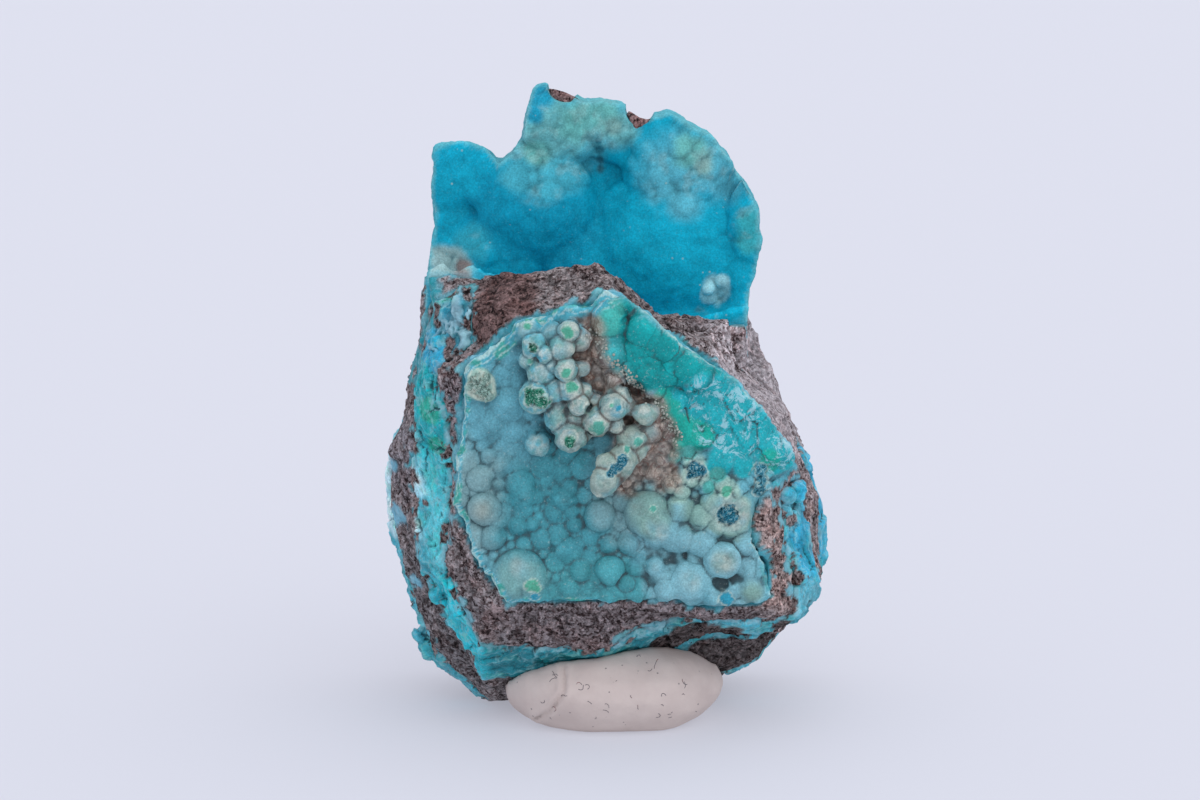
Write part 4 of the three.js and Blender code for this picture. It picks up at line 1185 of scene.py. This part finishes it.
def hollow_material():
    """Deep blue with a velvet grain and a few pale specks."""
    crust = Finish("hollow_crust")
    # its first colour is the painted shade in the crust's creases
    colour = crust_look(crust, paint(8, 84, 108), paint(84, 184, 198))
    speck = crust.product(crust.span(crust.grains(0.8), 0.16, 0.08),
                          crust.span(crust.cloud(0.3), 0.56, 0.66))
    colour = crust.mix(crust.product(speck, 0.6), colour, paint(176, 196, 180))
    crust.bump((crust.cloud(1.2, detail=5, roughness=0.65), 0.35, 0.25),
               (crust.cloud(5, detail=3), 0.4, 0.1))
    return crust.surface(colour, 0.7, Specular_IOR_Level=0.1)


def break_notches(skin, high):
    """Breaks the crust back from the slab's top edge."""
    for x, z, radius in NOTCHES:
        away = np.hypot(skin.x - x, skin.z - z) * (1 + skin.ripple(0.8, 2) * 0.12)
        near = (away < radius) & high
        scale = radius / np.maximum(away[near], TINY)
        skin.points[near, 0] = x + (skin.points[near, 0] - x) * scale
        skin.points[near, 2] = z + (skin.points[near, 2] - z) * scale


def hollow_piece():
    piece = fused("upper_crust_skin", hollow_form(), HOLLOW_VOXEL)
    skin = Skin(piece)
    skin.smooth(2)
    ragged = skin.ripple(0.4, 3, 5.5) * 0.3
    front = step(skin.facing(), 0.0, 0.4)
    knobby = skin.patch(KNOBBY, 0.6, ragged)
    up, size, seam, dome = skin.dome_field(scattered(zone=hollow_zone, **HOLLOW_CROWD))
    skin.push(0.25 + front * up * size + skin.ripple(0.22, 3, 8.4) * 0.3 + skin.ripple(1.3, 2) * 0.04)
    high = skin.z > HOLLOW_FOOT
    skin.reach_edge(SLAB_OUTLINE, high)
    depth_inside = np.where(high, skin.inside_outline(SLAB_OUTLINE)[0], 9)
    skin.fray(depth_inside, size=0.25)
    break_notches(skin, high)
    lip = step(-skin.y, 0, 3) * step(skin.normals()[:, 2], 0.2, 0.7)
    skin.points[:, 2] += lip * skin.ripple(0.4, 4, 4.4) * 0.9
    skin.smooth(1, 0.3)
    relief = skin.relief(5)
    swell = skin.relief(40)
    skin.tint((6, 156, 182))
    skin.blend_zones(HOLLOW_TONES, ragged)
    pale = knobby * front
    skin.blend((158, 190, 184), pale * step(skin.ripple(0.5, 4, 4.1), 0.05, 0.5) * 0.25)
    # tone varies at random from dome to dome; painted light on each dome's top and painted shade toward
    # its edge
    skin.shade(1 + front * (0.25 + 0.75 * knobby) * (per_dome(dome, -0.07, 0.07) + (up - 0.72) * 0.34))
    # painted shade along the seams between the pale domes
    skin.blend((84, 156, 160), pale * (1 - step(seam, 0.03, 0.2)) * 0.15)
    # painted light on the big lobes and painted shade in the grooves between them
    skin.shade(1 + np.clip(swell * 0.3, -0.35, 0.2))
    skin.blend((104, 176, 180), (1 - step(depth_inside, 0.1, 0.5 + ragged)) * 0.7)
    near_rock = 1 - step(skin.distances(tree_of_nodes("rock_matrix")), 0.4, 0.9)
    skin.blend((96, 180, 196), near_rock * 0.3 * (1 - step(skin.z, 62, 66)))
    end_on = np.where(high, 1 - step(depth_inside, 0.8, 1.8), 1)
    broken = step(skin.sideways(), 0.6, 0.85) * end_on
    layers = np.sin(skin.y * 4 + skin.ripple(0.3, 4, 2.8) * 4)
    skin.blend((52, 150, 168), broken * 0.6)
    skin.blend((160, 204, 204), broken * step(layers, 0.35, 0.85) * 0.6)
    # relief, which the material turns into painted shade in creases and painted light on tops
    skin.keep("relief", 0.5 + relief * 1.2)
    skin.finish()
    piece.data.materials.append(hollow_material())
    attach(piece, "root")
    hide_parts("upper_crust")


# ---------------------------------------------------------------- the veins
VEIN_VOXEL = 0.25
VEIN_TONES = [
    ((60, 142, 160), 0.5, [(-21, 54, 5)]),
    ((20, 162, 170), 0.6, [(-22.5, 44, 4.5), (-22, 39, 4), (-22, 48, 2.5)]),
    ((66, 182, 192), 0.7, [(-21, 34, 3.6), (-20.5, 31, 3)]),
    ((84, 190, 200), 0.7, [(-20.5, 27, 3.6), (-19.5, 23, 3)]),
    ((26, 184, 198), 0.7, [(-18.5, 18, 3.4), (-18, 13.5, 3), (-16, 10, 3)]),
    ((36, 126, 138), 0.6, [(-12, 9.5, 4), (-7, 10, 4), (-2, 11, 4), (3, 12.5, 3.4), (8, 14, 3.4)]),
    ((40, 154, 184), 0.7, [(26, 31, 4), (27, 26, 4), (27, 22, 3)]),
    ((84, 168, 184), 0.7, [(22, 29, 3), (24, 18, 3)]),
    ((200, 234, 244), 0.6, [(-27.5, 32, 4), (-27, 26, 3)]),
    ((34, 160, 140), 0.4, [(-20.7, 56.7, 1.6), (-22.4, 42, 1.5), (-21.6, 37.5, 1.2), (-18.5, 20.4, 1)]),
    ((26, 118, 138), 0.4, [(-19.9, 54.3, 1.2)]),
    ((40, 154, 186), 0.4, [(-21.9, 48.8, 1.8), (-22.2, 51, 1.2)]),
]
VEIN_LUMPS = {"per_mm": 4, "radii": (0.5, 1.4)}  # how many for each millimetre of height
LUMPY_ABOVE = 16  # below this z the veins have lumps only left of LUMPY_LEFT
LUMPY_LEFT = -10
RIM_FROM = (25.6, 26.6)  # how far to the side the ends of the back vein begin
# Where bare rock shows along the underside, darkened as painted shade, and bare rock at the sides and
# between the walls.
UNDERSIDE = [(7.4, 10.2, 1.9), (10, 11.4, 2.5), (13, 11.9, 2.6), (15.8, 11.4, 2.2), (22.6, 13.6, 1.3)]
SIDE_WINDOWS = [(22, 19, 1.7), (22.4, 22, 1.5), (23.2, 16.8, 1.2), (23.6, 27.6, 0.7), (27.4, 17.2, 1.3),
                (-25.6, 24, 0.9), (-23.2, 29.4, 0.5)] + LEFT_BARE
ROCK_WINDOWS = [
    (-21.9, 54, 0.9), (-21.4, 52.6, 0.6), (-19.8, 49.2, 0.8), (-19.6, 50.6, 0.6), (-17.6, 56.6, 0.7),
]
NET_ZONE = [(-21, 54.5, 5.4), (-19, 51, 4)]  # where thin pale walls cross the left block
# A thicker pale wall along that block's right edge, [x, z].
LIP = [(-18.7, 56.4), (-19, 54.5), (-17.6, 52.4), (-18.2, 50.6), (-17.6, 48.8), (-18, 47.2), (-20.4, 47)]
WALL_RISE = 0.35


def vein_form(node, seed):
    """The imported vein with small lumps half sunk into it."""
    form = packed_form(node)
    low, high = (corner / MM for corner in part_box(node))
    solid = tree_of_nodes(node)
    draw = random.Random(seed)
    for _ in range(int((high.z - low.z) * VEIN_LUMPS["per_mm"])):
        aim = Vector(draw.uniform(a, b) for a, b in zip(low, high))
        spot, normal, _, _ = solid.find_nearest(aim * MM)
        radius = draw.uniform(*VEIN_LUMPS["radii"])
        if aim.z > LUMPY_ABOVE or aim.x < LUMPY_LEFT:
            add_ball(form, spot / MM - normal * radius * 0.8, radius, fineness=2)
    return form


def vein_piece(node, finish, seed):
    piece = fused(node + "_skin", vein_form(node, seed), VEIN_VOXEL)
    skin = Skin(piece)
    skin.smooth(2)
    ragged = skin.ripple(0.4, 3, seed) * 0.3
    net = skin.patch(NET_ZONE, 0.3, ragged)
    warp = np.stack([skin.ripple(0.3, 3, seed + k) for k in (1, 2, 5)], axis=1)
    gaps = cell_borders(skin.points + warp * 1.6, 0.33, seed)
    walls = net * (1 - step(gaps, 0.04, 0.16)) * step(skin.ripple(0.25, 2, 9.9), -0.25, 0.1)
    lip = 1 - step(skin.line_distance(LIP)[0] + ragged * 1.6, 0.25, 0.7)
    skin.push(0.05 + skin.breakage(0.25, seed) * 1.2 + skin.breakage(0.7, seed + 3) * 0.45
              + skin.ripple(0.5, 3, seed) * 0.2 + (walls + lip) * WALL_RISE)
    away = skin.distances(tree_of_nodes("rock_matrix"))
    edge = skin.ripple(0.5, 4, seed + 7)
    edge *= 1 + 1.2 * step(skin.sideways(), 0.5, 0.85)
    skin.tint((66, 160, 176))
    skin.blend_zones(VEIN_TONES, ragged)
    skin.shade(1.28 + skin.ripple(0.4, 3, seed + 4) * 0.35)
    under = skin.patch(UNDERSIDE, 0.3, ragged)
    spread = np.maximum(edge, 0)
    at_rock = (1 - step(away, 0.3 + spread * 1.2, 0.5 + spread * 1.5)) * step(edge, 0.12, 0.25)
    bare = np.maximum(skin.patch(ROCK_WINDOWS + SIDE_WINDOWS, 0.3, ragged * 2.2), at_rock)
    bare = np.maximum(bare * (1 - 0.92 * step(np.abs(skin.x), *RIM_FROM)), under)
    shells = np.sin(skin.y * 2.2 + skin.x * 1.4 + skin.ripple(0.22, 4, seed + 6) * 7)
    skin.blend((150, 204, 206), step(shells, 0.8, 0.98) * 0.5)
    skin.shade(1 - 0.22 * step(-shells, 0.4, 0.95))
    skin.blend((116, 108, 107), bare)
    # painted shade on the bare rock along the underside
    skin.blend((84, 79, 79), under)
    pale = np.maximum.reduce([(1 - step(away, 0.4, 0.9 + ragged)) * 0.6 * step(-edge, -0.1, 0.2),
                              walls * 0.75, lip * 0.75])
    skin.keep("crusted", 1 - bare)
    skin.keep("pale", pale * (1 - bare))
    # relief, which the material turns into painted shade in hollows and painted light on tops
    skin.keep("relief", 0.5 + skin.relief(6) * 1.8)
    skin.finish(lowest=0.2)
    piece.data.materials.append(finish)
    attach(piece, "root")
    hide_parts(node)


# ---------------------------------------------------------------- the putty
PUTTY_VOXEL = 0.42
CREASE = [(-8.9, 1.6), (-6.9, 3.3), (-5.2, 6), (-5.6, 10)]  # [x, z] on its front
LINT = {"count": 34, "seed": 23, "thickness": 0.04, "stretch": 0.22, "x": (-8, 12), "z": (1.2, 10)}


def putty_material():
    putty = Finish("putty")
    colour = putty.ramp(putty.cloud(0.25, detail=4), (0.3, paint(200, 185, 178)),
                        (0.7, paint(213, 199, 191)))
    speck = putty.product(putty.span(putty.grains(0.9), 0.14, 0.08),
                          putty.span(putty.cloud(0.4, detail=2), 0.45, 0.6))
    colour = putty.mix(putty.product(speck, 0.7), colour, paint(96, 90, 92))
    putty.bump((putty.cloud(0.8, detail=4), 0.25, 0.3), (putty.cloud(5, detail=3), 0.3, 0.06))
    return putty.surface(colour, 0.85, Specular_IOR_Level=0.3)


def putty_piece():
    piece = fused("putty_rest_skin", packed_form("putty_rest"), PUTTY_VOXEL)
    skin = Skin(piece)
    flat = skin.z < 0.05
    skin.smooth(10)
    fold, _ = skin.line_distance(CREASE)
    front = step(skin.facing(), 0.1, 0.5)
    skin.push(0.18 + skin.ripple(0.12, 2) * 0.3 + skin.ripple(0.9, 2, 3.3) * 0.04
              + front * (0.25 * np.exp(-((fold - 0.5) / 0.5) ** 2) - 0.4 * np.exp(-(fold / 0.25) ** 2)))
    skin.points[flat, 2] = 0
    skin.tint((200, 186, 180))
    skin.finish(lowest=0)
    piece.data.materials.append(putty_material())
    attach(piece, "root")
    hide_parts("putty_rest")
    return piece


def lint(putty):
    """Short curled fibres stuck to the front of the putty."""
    surface = tree_of(putty)
    form = bmesh.new()
    draw = random.Random(LINT["seed"])
    for _ in range(LINT["count"]):
        x, z = draw.uniform(*LINT["x"]), draw.uniform(*LINT["z"])
        heading, curl = draw.uniform(0, math.tau), draw.uniform(-0.9, 0.9)
        last = None
        for _ in range(draw.randint(2, 6)):
            spot = landing(surface, x, z)
            if spot is None:
                break
            if last is not None:
                add_rod(form, last, spot, LINT["thickness"], LINT["thickness"], sides=5)
            last = spot
            x += LINT["stretch"] * math.cos(heading)
            z += LINT["stretch"] * math.sin(heading)
            heading += curl + draw.uniform(-0.6, 0.6)
    fibres = new_piece("putty_lint", form)
    finish = Finish("lint")
    colour = finish.ramp(finish.cloud(0.35), (0.6, paint(92, 88, 92)), (0.7, paint(140, 62, 62)))
    fibres.data.materials.append(finish.surface(colour, 0.9))
    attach(fibres, "root")


# ---------------------------------------------------------------- floor and light
FLOOR_RADIUS = 6000


def floor():
    form = bmesh.new()
    bmesh.ops.create_circle(form, cap_ends=True, segments=96, radius=FLOOR_RADIUS * MM)
    ground = new_piece("floor", form)
    finish = Finish("pale_floor")
    look = finish.surface(paint(160, 161, 165), 0.9, Specular_IOR_Level=0.1,
                          Emission_Color=paint(219, 221, 235), Emission_Strength=0.46)
    ground.data.materials.append(look)


def sun(name, toward, strength, spread):
    """A lamp that stands toward some direction; its spread in degrees makes shadows soft."""
    light = bpy.data.lights.new(name, "SUN")
    light.energy = strength
    light.angle = math.radians(spread)
    lamp = bpy.data.objects.new(name, light)
    bpy.context.scene.collection.objects.link(lamp)
    lamp.rotation_euler = (-Vector(toward)).to_track_quat("-Z", "Y").to_euler()


def studio():
    world = bpy.data.worlds.new("studio")
    world.use_nodes = True
    bpy.context.scene.world = world
    sky = world.node_tree.nodes["Background"]
    sky.inputs["Color"].default_value = paint(220, 222, 236)
    sky.inputs["Strength"].default_value = 1.0
    sun("overhead", (0.3, 0.15, 1), 1.0, 100)
    sun("front", (0.25, -0.8, 0.6), 0.6, 70)
    bpy.context.scene.view_settings.view_transform = "Standard"


# ---------------------------------------------------------------- the specimen
place_camera()
rock_piece()
face_piece()
hollow_piece()
veins = mixed_material("vein_crust")
for vein, vein_seed in (("middle_vein", 3), ("left_rim_vein", 4), ("right_rim_vein", 5)):
    vein_piece(vein, veins, vein_seed)
lint(putty_piece())
floor()
studio()
